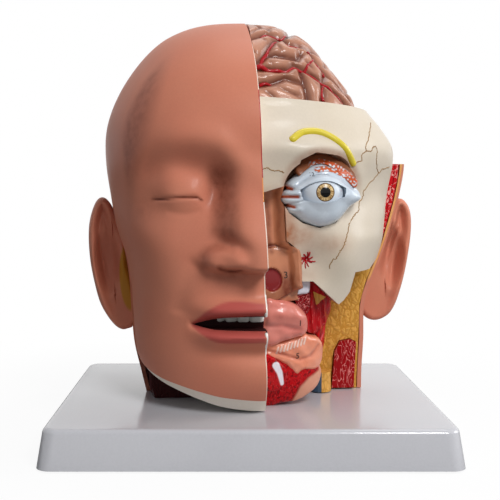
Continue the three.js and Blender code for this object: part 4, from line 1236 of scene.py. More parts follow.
def make_ear(name):
    spec = EARS[name]
    outline = smooth_line(spec["outline"], 10, closed=True)
    bowl_x, bowl_h = spec["bowl"]
    side = spec["side"]

    def to_rim(x, h):
        return to_line(x, h, looped(outline))[0]

    def to_bowl(x, h):
        return np.hypot((x - bowl_x) / 6.5, (h - bowl_h) / 15)

    def front(x, h):
        rim = to_rim(x, h)
        outwards = side * (x - bowl_x)
        helix = 3.0 * bump(rim, 2.6, 2.4) * ease(-9, 2, outwards) * ease(38, 58, h)
        scapha = -2.2 * bump(rim, 6.2, 2.0) * ease(-4, 3, outwards) * ease(56, 70, h)
        bowl = -5.8 * bell(to_bowl(x, h), 1, 3)
        antihelix = 1.6 * bump(to_bowl(x, h), 1.35, 0.28) * (outwards > -3)
        tragus = 2.4 * mound(x, h, (bowl_x - side * 7.5, bowl_h - 2), (3.2, 6))
        return EAR_FRONT - (helix + scapha + bowl + antihelix + tragus)

    ear = slab(name + "_outer_ear", outline[::4], front, EAR_BACK, 44, 200, 3.2)
    remove(ear, head_ball("skin", -GAP, 120, 90))
    x, y, h = corners(ear.data).T
    # The bowl and the groove inside the rim are painted darker as shade.
    hollow = spec["dark"] * (bell(to_bowl(x, h), 1, 3) + 0.4 * bump(to_rim(x, h), 6.2, 1.6) * ease(56, 70, h))
    write_attribute(ear, "hollow", np.clip(hollow, 0, 1) * (y < EAR_BACK - 0.8))
    write_attribute(ear, "tint", ease(1.1, 0.9, np.hypot((x + 71) / 6, (h - 67) / 20)))
    return put_on_board(ear, "stand", "skin", name + "_ear", EAR_SKIN, sharp=60)


for name in EARS:
    make_ear(name)

# %% [markdown]
# ## The skull
#
# The bare bone of the opened side has its own table of sections and its own relief: the brow ridge, the
# cheekbone and the hollow beside the nose. It is cut level above the brow, where the brain shows, and it is
# hollowed for the brain and the eye. Fine brown lines mark the seams between the bones.

# %% Surface of the bone
EYE_X = 31
EYE_HEIGHT = 116.5
CHEEK_X = 46
CHEEK_HEIGHT = 88


def bone_relief(x, h):
    brow = 3 * bump(h, EYE_HEIGHT + 22.5, 6) * bump(x, EYE_X - 5, 24)
    cheekbone = 4.5 * bump(x, CHEEK_X - 1, 13) * bump(h, CHEEK_HEIGHT - 4, 15)
    hollow = -5 * bump(x, CHEEK_X - 19, 10) * bump(h, CHEEK_HEIGHT - 8, 12)
    temple = -4 * bump(x, EYE_X + 35, 12) * bump(h, EYE_HEIGHT + 5.5, 14)
    return brow + cheekbone + hollow + temple


def bone_detail(x, h):
    """Finer forms than the CAD solid has: the socket's rim, the temple's edge, the arch and a small hole."""
    rim = np.hypot((x - 32) / 21.5, (h - 117) / 20.5)
    socket_rim = 0.5 * bump(rim, 1.12, 0.12) * ease(108, 118, h)
    line, along = to_line(x, h, TEMPLE_LINE)
    temple_edge = 0.8 * bell(line, 3.0) * ease(0, 0.2, along) * ease(1, 0.8, along)
    arch = 1.5 * mound(x, h, (62, 92), (12, 6))
    foramen = -1.6 * mound(x, h, (23.5, 81.9), (3.2, 3.2))
    return bone_relief(x, h) + socket_rim + temple_edge + arch + foramen


TEMPLE_LINE = smooth_line([(52, 118), (56, 128), (60, 140), (61, 150), (57, 160)])


def bone_rows(t):
    h, front, left = station(BONE_SECTIONS, t).T
    back = row_at(SECTIONS, h)[:, 2] - SKIN_WALL - GAP
    return np.stack([h, front, back, left, left], axis=-1)


def bone_front(x, h):
    """y of the bone's front surface at (x, h)."""
    row = row_at(BONE_SECTIONS, h)
    reach = (1 - np.minimum(1, np.abs(x) / row[..., 2]) ** SECTION_ROUND) ** (1 / SECTION_ROUND)
    return -row[..., 1] * reach - bone_relief(x, h)


print("brow at y =", round(float(bone_front(np.array([26.0]), np.array([139.0]))[0]), 1), "mm")

# %% Rooms in the bone
SKULL_CUT = 166
SKULL_CUT_FALL = 0.065
NECK_TOP = 86
EYE_FRONT = -77.5
EYE_MIDDLE = -63
EYE_BACK = -50
ORBIT = (32, -62, 117.5)
ORBIT_RADII = (20, 13, 19.5)
EYE_OUTLINE = [(10.5, 113), (12, 119), (16.5, 124.5), (24, 129.5), (31, 131.5), (38, 129.5), (45, 124),
               (52.4, 114.8), (46, 109), (39, 101.5), (30, 98.7), (21, 101.2), (14, 106.5)]
LEVATOR_ROOM = [(18, 126), (20, 133), (28, 137), (37, 136), (44.4, 131.4), (48.8, 126.1), (48.5, 118.5),
                (31, 112)]
SKULL_OUTLINE = [(HALF, SKY), (HALF, 116.5), (11.8, 120), (12.2, 92), (18.6, 87), (19.3, 70.3), (27, 70),
                 (32, 65.5), (38, 60), (42, 56.5), (45, 58.5), (48.6, 63), (51, 74), (62, 74.5), (75, 84),
                 (95, 90), (95, SKY)]
NERVE_PATH = [(16, 143.4), (21.5, 147), (29.5, 147.4), (37, 144.4), (43.8, 139), (48.6, 131.8)]
NERVE_RADIUS = 2.1
BRAIN_PIN = ((30, -12, 98), (30, -12, 122))
EYE_STEM = 3
STEM_END = -28.5


def grown(outline, distance):
    """An outline moved outwards by a distance."""
    points = np.asarray(outline, float)
    before = points - np.roll(points, 1, axis=0)
    after = np.roll(points, -1, axis=0) - points
    area = (points[:, 0] * np.roll(points[:, 1], -1) - np.roll(points[:, 0], -1) * points[:, 1]).sum()

    def normals(run):
        out = np.stack([run[:, 1], -run[:, 0]], axis=-1) * np.sign(area)
        return out / np.hypot(*out.T)[:, None]

    one = normals(before)
    out = one + normals(after)
    out = out / np.hypot(*out.T)[:, None]
    stretch = distance / np.maximum(0.4, (out * one).sum(axis=1))
    return (points + out * stretch[:, None]).tolist()


def above_cut():
    line = [(-5, SKULL_CUT), (BEYOND, SKULL_CUT - SKULL_CUT_FALL * BEYOND), (BEYOND, SKY), (-5, SKY)]
    return prism(line, -BEYOND, BEYOND)


def oval(rx, front, back, low, high, count=96):
    shape = bmesh.new()
    bmesh.ops.create_cone(shape, cap_ends=True, segments=count, radius1=1, radius2=1, depth=1)
    for corner in shape.verts:
        c, s = corner.co.x, corner.co.y
        power = 2 / BRAIN_ROUND
        corner.co.x = rx * math.copysign(abs(c) ** power, c)
        corner.co.y = BRAIN_Y + (front if s < 0 else back) * math.copysign(abs(s) ** power, s)
        corner.co.z = high if corner.co.z > 0 else low
    return new_object("oval", shape)


def brain_well():
    room = join(half_room(1, LIFT, GAP),
                oval(BRAIN_WIDTH + LIFT, BRAIN_FRONT + LIFT, BRAIN_BACK + LIFT, BRAIN_HEIGHT, SKY))
    return keep(room, block(-HALF, BRAIN_IN_WELL + LIFT, -BEYOND, BEYOND, 0, SKY))


def eye_way():
    """The room through which the eye and its muscle are pulled out."""
    return join(prism(grown(EYE_OUTLINE, 0.35), -BEYOND, EYE_BACK),
                prism(LEVATOR_ROOM, -BEYOND, EYE_MIDDLE + 2.7))


def tube(name, points, radius, sides=12, taper=0.0):
    """A round tube along points: a curve with a round bevel, turned into a mesh."""
    curve = bpy.data.curves.new(name, "CURVE")
    curve.dimensions = "3D"
    curve.bevel_depth = radius
    curve.bevel_resolution = max(1, sides // 4 - 1)
    curve.use_fill_caps = True
    line = curve.splines.new("POLY")
    line.points.add(len(points) - 1)
    for i, (spot, place) in enumerate(zip(line.points, points)):
        spot.co = (*place, 1)
        spot.radius = 1 - taper * i / max(1, len(points) - 1)
    mesh = mesh_from_curve(name, curve)
    shape = bmesh.new()
    shape.from_mesh(mesh)
    bpy.data.meshes.remove(mesh)
    bmesh.ops.remove_doubles(shape, verts=shape.verts, dist=0.001)
    return new_object(name, shape)


def on_bone(line, lift, detail=0):
    """Places on the bone's front, lifted off it, for a line of (x, h)."""
    x, h = line.T
    return np.stack([x, bone_front(x, h) - detail + lift, h], axis=-1)


def on_fine_bone(line, lift):
    return on_bone(line, lift, bone_detail(*line.T) - bone_relief(*line.T))


print("nerve starts at", on_bone(smooth_line(NERVE_PATH), 0.6)[0].round(1))

# %% Facial skull
def bone_masks(piece):
    """Brown paint: painted shade deep in the socket and across its upper part, and brown patches beside the
    nose, below the eye, under the cheekbone and lower down.
    """
    x, y, h = corners(piece.data).T
    depth = y - bone_front(x, h)
    socket = np.hypot((x - 32) / 21, (h - 117.5) / 20.5)
    rim = np.maximum(0.9 * ease(1.1, 0.98, socket) * ease(-0.5, 3, depth),
                     0.55 * ease(1.16, 0.96, socket) * ease(113, 124, h))
    spots = sum([0.6 * mound(x, h, (20, 94), (9, 9)), 0.42 * mound(x, h, (38, 90), (9, 5)),
                 0.3 * mound(x, h, (24, 74), (7, 5)), 0.75 * ease(20, 12.5, x) * ease(124, 110, h)])
    write_attribute(piece, "hollow", np.clip(np.maximum(rim, spots), 0, 1))


def socket_hollow():
    """The open crescent of the socket, above the eye and beside the nose."""
    x, y, h = ORBIT
    wide, deep, high = ORBIT_RADII
    crescent = [(5, 101), (5, 142), (53, 142), (51, 125), (42, 118), (31, 112), (12, 106)]
    return keep(ellipsoid((x - 0.5, y - 5, h + 0.5), (wide + 1, deep, high), 96, 64),
                prism(crescent, -BEYOND, 0))


def make_facial_skull():
    bone = section_ball("facial_bone", bone_rows, 0, 300, 240, bone_detail, 0.2)
    keep(bone, block(HALF, BEYOND, -BEYOND, -HALF, 50, SKY), prism(SKULL_OUTLINE, -BEYOND, 0))
    remove(bone, above_cut(), brain_well(), eye_way(), socket_hollow())
    remove(bone, rod((EYE_X, EYE_BACK - 4, EYE_HEIGHT), (EYE_X, STEM_END + GAP, EYE_HEIGHT), EYE_STEM + GAP))
    remove(bone, rod(*BRAIN_PIN, PIN_RADIUS + GAP), half_room(-1, GAP, GAP))
    bone_masks(bone)
    return put_on_board(bone, "stand", "bone", "facial_skull", BONE)


make_facial_skull()

# %% Base of the skull
STEM = (0, 12, 9)
CEREBELLUM = ((0, 43, 101), (44, 20, 16))


def stem_room(grow):
    x, y, radius = STEM
    return rod((x, y, NECK_TOP + 4 - grow), (x, y, BRAIN_FLOOR - GAP + grow), radius + grow)


def behind_stem(grow):
    return block(-BEYOND, BEYOND, STEM[1] + STEM[2] + GAP - grow, BEYOND, NECK_TOP + 4 - grow,
                 BRAIN_FLOOR - GAP + grow)


def cerebellum_room(grow):
    centre, radii = CEREBELLUM
    return keep(ellipsoid(centre, tuple(r + grow for r in radii)), behind_stem(grow))


def make_skull_base():
    left = keep(section_ball("skull_base", bone_rows, 0, 200, 160, bone_relief, 0),
                block(-HALF, BEYOND, HALF, BEYOND, NECK_TOP, SKY))
    right = keep(head_ball("right", SKIN_WALL + GAP, 160, 120),
                 block(-BEYOND, HALF, HALF, BEYOND, NECK_TOP, SKY))
    front = keep(head_ball("front", SKIN_WALL + GAP, 160, 120), beside_mask_edge(1),
                 block(-BEYOND, -HALF, -40, 1, EAR_NOTCH + 1, SKY))
    join(left, right, front)
    remove(left, above_cut(), brain_well(), half_room(-1, GAP, GAP))
    remove(left, stem_room(GAP), cerebellum_room(GAP))
    remove(left, *pin_holes())
    return put_on_board(left, "stand", "bone", "cranial_base", BONE)


make_skull_base()

# %% Seams of the bones
SEAMS = {
    "temple_seam": [(63.2, 154), (60.5, 148.9), (58.6, 144), (56.6, 140.4), (57.1, 138.4)],
    "brow_seam": [(57.1, 138.4), (54, 136.3), (54.2, 133.2), (51.5, 132.6), (48.9, 131)],
    "wing_seam": [(57.1, 138.4), (59.7, 138.2), (61.2, 140.2), (63.2, 140.8), (64.4, 138.6), (64.3, 133.4),
                  (66.7, 127.3), (69, 129), (71.5, 129.5), (75, 130.5)],
    "cheek_seam": [(66.7, 127.3), (64.2, 124.1), (61, 121.9), (58.8, 119.5), (56.4, 117), (55.6, 113.9),
                   (53.4, 110.5), (53.1, 107.3), (50.4, 105), (48.5, 102.9), (46.6, 100.4), (45.8, 97.4),
                   (43.9, 92), (42.9, 89.3), (40.6, 86), (39.6, 83.5), (36.6, 80.6), (35.4, 77)],
    "nose_seam": [(0.6, 128.6), (3, 129), (6.5, 127.6), (9, 127.9), (11.4, 126.6)],
}
SEAM_PAINT = paint("brown seam line", "9b7747", "7d5a34", wash_and_shade="5d3d20", size=300.0, rough=0.6, coat=0.1)


def seam(name, points, radius=0.32):
    chance = np.random.default_rng(len(points))
    line = smooth_line(points, 6)
    line[1:-1] += chance.normal(0, 0.22, line[1:-1].shape)
    piece = tube(name, on_fine_bone(line, 0.12).tolist(), radius, 8)
    return put_on_board(piece, "stand", "bone", None, SEAM_PAINT, sharp=180)


for name, points in SEAMS.items():
    seam(name, points)

# %% [markdown]
# ## The nerve above the eye
#
# A smooth yellow strand lies on the brow and ends at the corner of the socket. It follows the bone and is a
# little sunk into it, as in the CAD model, and it is one tube with rounded ends.

# %% Nerve
NERVE_PAINT = paint("yellow nerve", "d6c22c", "e3d24c", wash_and_shade="8e7a14", size=70.0, amount=0.35, rough=0.3,
                    coat=0.5)


def make_nerve():
    line = on_bone(smooth_line(NERVE_PATH, 14), 0.6)
    nerve = tube("brow_nerve", line.tolist(), NERVE_RADIUS - 0.05, 24)
    for end in (line[0], line[-1]):
        join(nerve, ellipsoid(tuple(end), (NERVE_RADIUS - 0.1,) * 3, 24, 16))
    return put_on_board(nerve, "stand", "nerve", "supraorbital_nerve", NERVE_PAINT, sharp=60)


make_nerve()

# %% [markdown]
# ## The brain
#
# The folds of a brain are ridges that wind, fork and join. The deep furrows between them are drawn as
# lines of directions seen from the brain's middle, the same as in the CAD model. The smaller ones come
# from a sum of waves of one length but many directions: along the line where it crosses zero it has just
# such a pattern. The seed is fixed, so each run gives the same brain.

# %% Main furrows
FURROW_DEPTH = 2.6
FURROW_WIDTH = 2.7
FURROW_SINK = 0.4
FURROWS = [
    [(-92, 56), (-84, 58), (-73, 60), (-61, 56), (-51, 58), (-40, 62), (-20, 64), (10, 66), (40, 68)],
    [(-90, 39), (-82, 45), (-76, 50), (-70, 54), (-61, 56)],
    [(-91, 38), (-82, 38), (-75, 37), (-69, 37), (-63, 39), (-55, 35), (-48, 30), (-40, 24), (-30, 16)],
    [(-86, 41), (-80, 45), (-74, 45), (-68, 44), (-58, 42), (-52, 45)],
    [(-61, 56), (-58, 51), (-48, 50), (-40, 48), (-30, 46), (-18, 42)],
    [(-90, 30), (-80, 31), (-72, 33), (-66, 31), (-62, 30)],
    [(-60, 37), (-62, 30), (-63, 20), (-66, 9)],
    [(-54, 22), (-49, 30), (-42, 34)],
    [(-42, 48), (-42, 38), (-38, 33), (-32, 27), (-24, 22), (-22, 8)],
    [(-28, 63), (-24, 52), (-18, 42), (-14, 30), (-10, 20), (-8, 11)],
    [(-6, 65), (-2, 54), (4, 44), (6, 33), (12, 20)],
    [(12, 30), (24, 40), (38, 42), (52, 46), (66, 50), (84, 52)],
    [(22, 66), (26, 54), (24, 40)],
    [(40, 68), (46, 56), (52, 46), (50, 34), (56, 24), (56, 6), (50, -8), (42, -20)],
    [(30, 42), (32, 30), (30, 16), (34, 2)],
    [(50, 34), (64, 34), (76, 30), (92, 32)],
    [(66, 72), (70, 60), (66, 50)],
    [(82, 64), (84, 52), (78, 42), (76, 30), (72, 16), (78, 4)],
    [(-70, 76), (-30, 78), (20, 79), (60, 76)],
    [(-90, 13), (-72, 9), (-50, 3), (-30, 6), (-10, 11), (12, 20)],
    [(-62, -16), (-30, -13), (0, -8), (30, -3), (62, -2), (92, 4)],
]


def brain_point(round_about, up, sunk=0.0):
    """The brain's surface in a direction in degrees, moved in by sunk."""
    a, b = np.radians(round_about), np.radians(up)
    return brain_surface(np.stack([np.cos(a) * np.cos(b), np.sin(a) * np.cos(b), np.sin(b)], axis=-1), -sunk)


def along_line(line, step=0.4):
    """Directions at even small steps along a line of directions."""
    line = np.asarray(line, float)
    count = int(np.hypot(*(line[1:] - line[:-1]).T).sum() / step) + 2
    spots = np.linspace(0, len(line) - 1, count)
    return np.stack([np.interp(spots, np.arange(len(line)), line[:, k]) for k in (0, 1)], axis=-1)


def tree_of(lines):
    """Finds the nearest point of a set of lines quickly."""
    points = np.concatenate([brain_point(*along_line(line).T) for line in lines])
    tree = kdtree.KDTree(len(points))
    for i, place in enumerate(points.tolist()):
        tree.insert(place, i)
    tree.balance()
    return tree


FURROW_TREE = tree_of(FURROWS)
print("main furrows:", len(FURROWS))


# %% Smaller folds
def fold_field(places, seed=7, count=44, length=19.0, vary=0.16):
    """A sum of waves of about one length in all directions."""
    chance = np.random.default_rng(seed)
    ways = chance.normal(size=(count, 3))
    ways /= np.linalg.norm(ways, axis=1)[:, None]
    ways *= (2 * math.pi / length * (1 + chance.uniform(-vary, vary, count)))[:, None]
    phase = chance.uniform(0, 2 * math.pi, count)
    return np.sin(places @ ways.T + phase).sum(axis=1) * math.sqrt(2 / count)


def furrow_depth(places, seed=7):
    """Depth of the main and of the smaller furrows at places on the smooth brain, in mm, and how much
    shade is painted into them.
    """
    nearest = np.array([FURROW_TREE.find(place)[2] for place in places.tolist()])
    main = bell(nearest, FURROW_WIDTH)
    small = bell(np.abs(fold_field(places, seed)), 0.3, 1.6) * (1 - bell(nearest, 4.5, 4))
    swell = np.clip(1 - nearest / 7.5, 0, 1) * 0.4
    depth = FURROW_DEPTH * main + 0.5 * bell(nearest, 0.9) + 1.5 * small + swell
    return depth, np.clip(main ** 1.6 + 0.75 * small, 0, 1)


def narrowed(places):
    """The opened half is a little narrower towards the crown."""
    narrow = 1 - 0.13 * ease(164, 190, places[:, 2]) * (places[:, 0] > 0)
    return places * np.stack([narrow, narrow * 0 + 1, narrow * 0 + 1], axis=-1)


def folded(piece, seed):
    """Presses the furrows in along the surface's own normals, and paints shade into them: the wash, and a
    tint that darkens with depth.
    """
    places = corners(piece.data)
    normals = np.zeros(len(places) * 3)
    piece.data.vertices.foreach_get("normal", normals)
    mirrored = places * (-1, 1, 1) if places[:, 0].mean() < -20 else places
    depth, wash_and_shade = furrow_depth(mirrored, seed)
    depth = depth + FURROW_SINK * ease(SKULL_CUT + 6, SKULL_CUT, places[:, 2])
    move_corners(piece.data, narrowed(places - normals.reshape(-1, 3) * depth[:, None]))
    write_attribute(piece, "hollow", wash_and_shade)
    write_attribute(piece, "tint", np.clip(depth / 4, 0, 0.7))
    return piece


# Both the wash and the darker tint of the brain are painted shade in its furrows.
BRAIN = paint("brown pink brain", "b8826a", "c3917a", wash_and_shade="5e2b1c", size=60.0, amount=0.6, rough=0.26,
              coat=0.3, bumpy=0.1, tint="a0684f", wash_and_shade_amount=0.95, shine=0.15)


def brain_half(name, grow, columns, rows, seed, x0, x1):
    """A folded brain, kept on one side of the fissure and cut off level below."""
    piece = folded(brain_ball(name, grow, columns, rows), seed)
    keep(piece, block(x0, x1, -BEYOND, BEYOND, BRAIN_FLOOR, SKY))
    return remove(piece, block(-BEYOND, BEYOND, -BEYOND, FRONTAL_BACK, 0, FRONTAL_FLOOR))


left_half = brain_half("left_brain_half", 0, 360, 260, 7, FISSURE, BEYOND)
(pin_x, pin_y, pin_foot), (_, _, pin_top) = BRAIN_PIN
remove(left_half, block(BRAIN_IN_WELL, BEYOND, -BEYOND, BEYOND, 0, SKULL_CUT + GAP))
remove(left_half, rod((pin_x, pin_y, pin_foot), (pin_x, pin_y, pin_top + GAP), PIN_RADIUS + GAP))
put_on_board(left_half, "brain_left", "brain", "left_hemisphere", BRAIN, sharp=70)
right_half = brain_half("right_brain_half", -RIGHT_UNDER, 240, 170, 11, -BEYOND, -FISSURE)
put_on_board(right_half, "stand", "brain", "right_hemisphere", BRAIN, sharp=70)

# %% [markdown]
# The cerebellum has much finer folds, which lie level. They are cut with the sine of the height, bent a
# little by the same waves.

# %% Cerebellum and stem
CEREBELLUM_PAINT = paint("cerebellum", "b07f69", "c08f78", wash_and_shade="66382a", size=80.0, rough=0.3, coat=0.5)
STEM_PAINT = paint("pale stem", "d8b49a", "e2c3ab", wash_and_shade="9a6a4c", size=90.0, rough=0.3, coat=0.5)


def make_cerebellum():
    lump = ellipsoid(*CEREBELLUM, 160, 200)
    lump.name = "cerebellum_folds"
    places = corners(lump.data)
    centre = np.array(CEREBELLUM[0])
    out = (places - centre) / np.linalg.norm(places - centre, axis=1)[:, None]
    wave = np.sin(places[:, 2] * 2.6 + fold_field(places, 5, length=26) * 0.8)
    furrow = np.clip(-wave, 0, 1) ** 2
    move_corners(lump.data, places - out * (furrow * 0.9)[:, None])
    # The furrows are painted darker as shade.
    write_attribute(lump, "hollow", furrow)
    keep(lump, behind_stem(0))
    return put_on_board(lump, "stand", "brain", "cerebellum", CEREBELLUM_PAINT, sharp=60)


make_cerebellum()

# %% [markdown]
# ## Arteries
#
# The arteries are crimson cords that lie in the furrows, fork and get thinner. Each one is a line of
# directions, as the furrows are. It is laid on the floor of its furrow and becomes a tapered tube.

# %% Arteries
ARTERY = paint("crimson artery", "a00d18", "b51822", wash_and_shade="6a0a10", size=120.0, amount=0.3, rough=0.3,
               coat=0.25, shine=0.15)
ARTERIES = [
    (0.95, 0.45, [(-92, 38), (-86, 39.5), (-82, 38), (-75, 37), (-69, 37), (-63, 39), (-55, 35), (-48, 30),
                  (-40, 24), (-34, 19)]),
    (0.8, 0.5, [(-88, 39), (-82, 45), (-76, 50), (-70, 53.5), (-66, 54)]),
    (0.6, 0.35, [(-79, 59), (-73, 60), (-66, 58.5), (-61, 56), (-55, 57), (-48, 59)]),
    (0.6, 0.35, [(-60, 52), (-54, 50.5), (-48, 50), (-43, 48), (-42, 44), (-48, 44.5)]),
    (0.75, 0.4, [(-92, 29.5), (-86, 30.5), (-80, 31)]),
    (0.6, 0.35, [(-57, 36), (-52, 38.5), (-47, 41)]),
    (0.65, 0.4, [(-54, 21), (-52, 25.5), (-49, 29)]),
    (0.55, 0.35, [(-42, 34), (-40, 40), (-42, 45), (-41, 48), (-34, 46.5), (-26, 44.5)]),
    (0.8, 0.4, [(-10, 15), (-11, 21), (-14, 30), (-18, 42), (-24, 52), (-26, 58)]),
    (0.55, 0.3, [(-18, 42), (-28, 45.5), (-34, 47)]),
    (0.8, 0.4, [(14, 16), (9, 26), (6, 33), (4, 44), (-2, 54)]),
    (0.55, 0.3, [(12, 30), (24, 40), (38, 42), (47, 44.5)]),
    (0.8, 0.4, [(56, 14), (56, 24), (50, 34), (52, 46), (46, 56), (42, 64)]),
    (0.55, 0.3, [(50, 34), (64, 34), (76, 30), (86, 31)]),
    (0.7, 0.35, [(74, 20), (76, 30), (78, 42), (84, 52), (83, 60)]),
    (0.5, 0.3, [(31, 22), (32, 30), (30, 42), (25, 47), (26, 54)]),
]


def artery(name, start, end, line):
    spots = along_line(line, 1.2)
    wander = np.stack([fold_field(brain_point(*spots.T), seed, 12, 9.0) for seed in (2, 4)], axis=-1)
    spots = spots + wander * 0.45
    depth, _ = furrow_depth(brain_point(*spots.T))
    places = brain_point(*spots.T, depth - 0.35)
    places = places[(places[:, 0] > 1.6) & (places[:, 2] > SKULL_CUT + 0.6 - SKULL_CUT_FALL * places[:, 0])]
    return tube(name, narrowed(places).tolist(), start * 1.45, 12, taper=1 - end / start)


def merge(name, pieces):
    """Several objects become one mesh, with its own name."""
    shape = bmesh.new()
    for piece in pieces:
        shape.from_mesh(piece.data)
        discard(piece)
    return add_object(name, mesh_of(name, shape))


arteries = merge("brain_arteries", [artery(f"artery_{k}", *row) for k, row in enumerate(ARTERIES)])
put_on_board(arteries, "brain_left", "brain", None, ARTERY, sharp=180)

# %% [markdown]
# ## The eye
#
# The eye is one pale moulding, pointed at its outer corner, with two lids that lie as a thin shell over the
# ball, four lobes at its inner side and a band of muscle over its top. The moulding is drawn as rings and
# spokes over its outline, swollen forwards, and the lids' fold, the lobes and the notches are relief on top.

# %% A pillow over an outline
EYE_BODY = [(10.9, 115.6), (10.5, 113.4), (11.6, 111.2), (13.4, 110.3), (12.6, 108.4), (14, 105.9),
            (17.2, 104), (21, 101.4), (30, 98.9), (39, 101.7), (46, 109), (52.2, 114.7), (45, 123.8),
            (38, 129.3), (31, 131.3), (24, 129.3), (16.7, 124.3), (13.2, 120.8), (13.6, 118.4), (12, 117.4)]
UPPER_LID = smooth_line([(14.6, 114.6), (20.6, 118.9), (25.5, 121.5), (31, 122.5), (36, 121.9), (41, 119.8),
                         (46.5, 116.8)])
LOWER_EYELID = smooth_line([(14.6, 114.6), (20.4, 112.9), (30.7, 111.4), (39.5, 113.6), (46.5, 116.8)])
LID_FOLD = smooth_line([(17, 119.8), (23.5, 124.2), (31, 126), (38.5, 124.4), (45, 119.8), (51.5, 115.3)])
NOTCHES = [[(9.6, 119.7), (13, 119.5), (15.4, 118.4)], [(9.4, 114.3), (13.5, 114.5), (18, 114.4)],
           [(10.6, 109.4), (13.6, 109.9), (16.2, 109.2)]]
FINGERS = [[(11.5, 122), (17, 120.6)], [(10.5, 117), (17.5, 116.4)], [(10.8, 112), (18, 112)],
           [(13.6, 107), (19, 107.6)]]
BAND = [(28.5, 128.2), (33, 128.9), (37.5, 127.9), (42, 125.8), (46.5, 122.8)]
BALL_RADIUS = 12
BALL_MIDDLE = (EYE_X, EYE_FRONT + BALL_RADIUS, EYE_HEIGHT)
BODY_MIDDLE = (EYE_X, EYE_MIDDLE, EYE_HEIGHT - 1)
BODY_FRONT = EYE_FRONT + 1.6
PUPIL = (EYE_X + 0.4, EYE_HEIGHT + 0.3)


def pillow(name, outline, middle, front, back, rings, spokes):
    """The CAD pillow: it swells from its outline to a rounder front and back."""
    edge = even_outline(outline, 24, spokes)
    shape, spoke, up = spoke_grid(spokes, rings)
    angle = up * math.pi
    reach = np.abs(np.cos(angle))
    size = np.clip(1 - reach ** 2.4, 0, 1) ** (1 / 2.4)
    centre = np.array([middle[0], middle[2]])
    x, h = (centre + (edge[spoke] - centre) * size[:, None]).T
    y = middle[1] + np.where(angle < math.pi / 2, reach * (front - middle[1]), reach * (back - middle[1]))
    move_corners(shape, np.stack([x, y, h], axis=-1))
    bmesh.ops.remove_doubles(shape, verts=shape.verts, dist=0.003)
    return new_object(name, shape)


ALMOND = np.concatenate([UPPER_LID, LOWER_EYELID[-2:0:-1]])
LID_RADIUS = 12.7


def near_any(x, h, lines, width, power=2):
    return sum(by_line(x, h, line, width, power) for line in lines)


def eye_relief(x, h):
    lids = 0.3 * by_line(x, h, looped(ALMOND), 1.2) - 0.9 * by_line(x, h, LID_FOLD, 1.0)
    lobes = 0.8 * near_any(x, h, FINGERS, 1.5) - 2.4 * near_any(x, h, NOTCHES, 0.85)
    return lids + lobes + 0.7 * ease(1.7, 0.9, to_line(x, h, BAND)[0])


def round_the_lids(piece):
    """Lays the lids as a thin shell over the ball, blended into the moulding, and adds the fine relief."""
    x, y, h = corners(piece.data).T
    ball_x, ball_y, ball_h = BALL_MIDDLE
    inward = LID_RADIUS ** 2 - (x - ball_x) ** 2 - (h - ball_h) ** 2
    shell = np.where(inward > 0, ball_y - np.sqrt(np.maximum(0, inward)), 0)
    share = np.clip(0.5 + 0.5 * (shell - y) / 1.5, 0, 1)
    blended = shell * (1 - share) + y * share - 1.5 * share * (1 - share)
    front = ease(EYE_MIDDLE, EYE_MIDDLE - 3, y)
    y = np.where(y < EYE_MIDDLE, blended, y) - eye_relief(x, h) * front
    move_corners(piece.data, np.stack([x, y, h], axis=-1))


def lid_opening():
    return keep(prism(ALMOND.tolist(), -BEYOND, EYE_FRONT + 7), ellipsoid(BALL_MIDDLE, (14.5,) * 3, 72, 48))


def flecks(x, h, seed):
    return fold_field(np.stack([x, x * 0, h], axis=-1), seed, length=1.5)


def eye_masks(piece):
    """Tints the notches and the band, and paints shade into the lids' fold and along their edge."""
    x, y, h = corners(piece.data).T
    band = ease(1.6, 1.2, to_line(x, h, BAND)[0]) * ease(0.9, 0.4, flecks(x, h, 9))
    tint = near_any(x, h, NOTCHES, 0.8, 4) + band
    write_attribute(piece, "tint", np.clip(tint, 0, 1) * (y < EYE_MIDDLE + 2))
    wash_and_shade = 0.3 * by_line(x, h, LID_FOLD, 0.9) + 0.2 * by_line(x, h, looped(ALMOND), 0.6)
    write_attribute(piece, "hollow", np.clip(wash_and_shade, 0, 1) * (y < EYE_MIDDLE))


EYE_WHITE = paint("pale blue eye", "cdd8e3", "d6dfe7", wash_and_shade="8796ad", size=90.0, amount=0.4, rough=0.25,
                  coat=0.5, bumpy=0.03, tint="cc6238")


def make_eye_body():
    body = pillow("eye_moulding", EYE_BODY, BODY_MIDDLE, BODY_FRONT, EYE_BACK, 140, 300)
    round_the_lids(body)
    join(body, rod((EYE_X, EYE_BACK - 2.5, EYE_HEIGHT), (EYE_X, STEM_END, EYE_HEIGHT), EYE_STEM))
    remove(body, ellipsoid(BALL_MIDDLE, (BALL_RADIUS + GAP,) * 3, 96, 72), lid_opening())
    eye_masks(body)
    return put_on_board(body, "eye", "eye_white", "eye_capsule", EYE_WHITE, sharp=50)


# Its dark brown is partly the muscle's own colour and partly painted shade under the socket's rim; its wash
# colour is the orange of the flecks in the band.
EYE_TOP = paint("brown top of the eye", "7e4a30", "8c5538", wash_and_shade="cc5a30", size=120.0, rough=0.4, coat=0.1,
                tint="dfe2e6", wash_and_shade_amount=1.0, shine=0.15)


def levator_front(x, h):
    return -70.5 + 0.45 * (h - 122) * ease(122, 134, h)


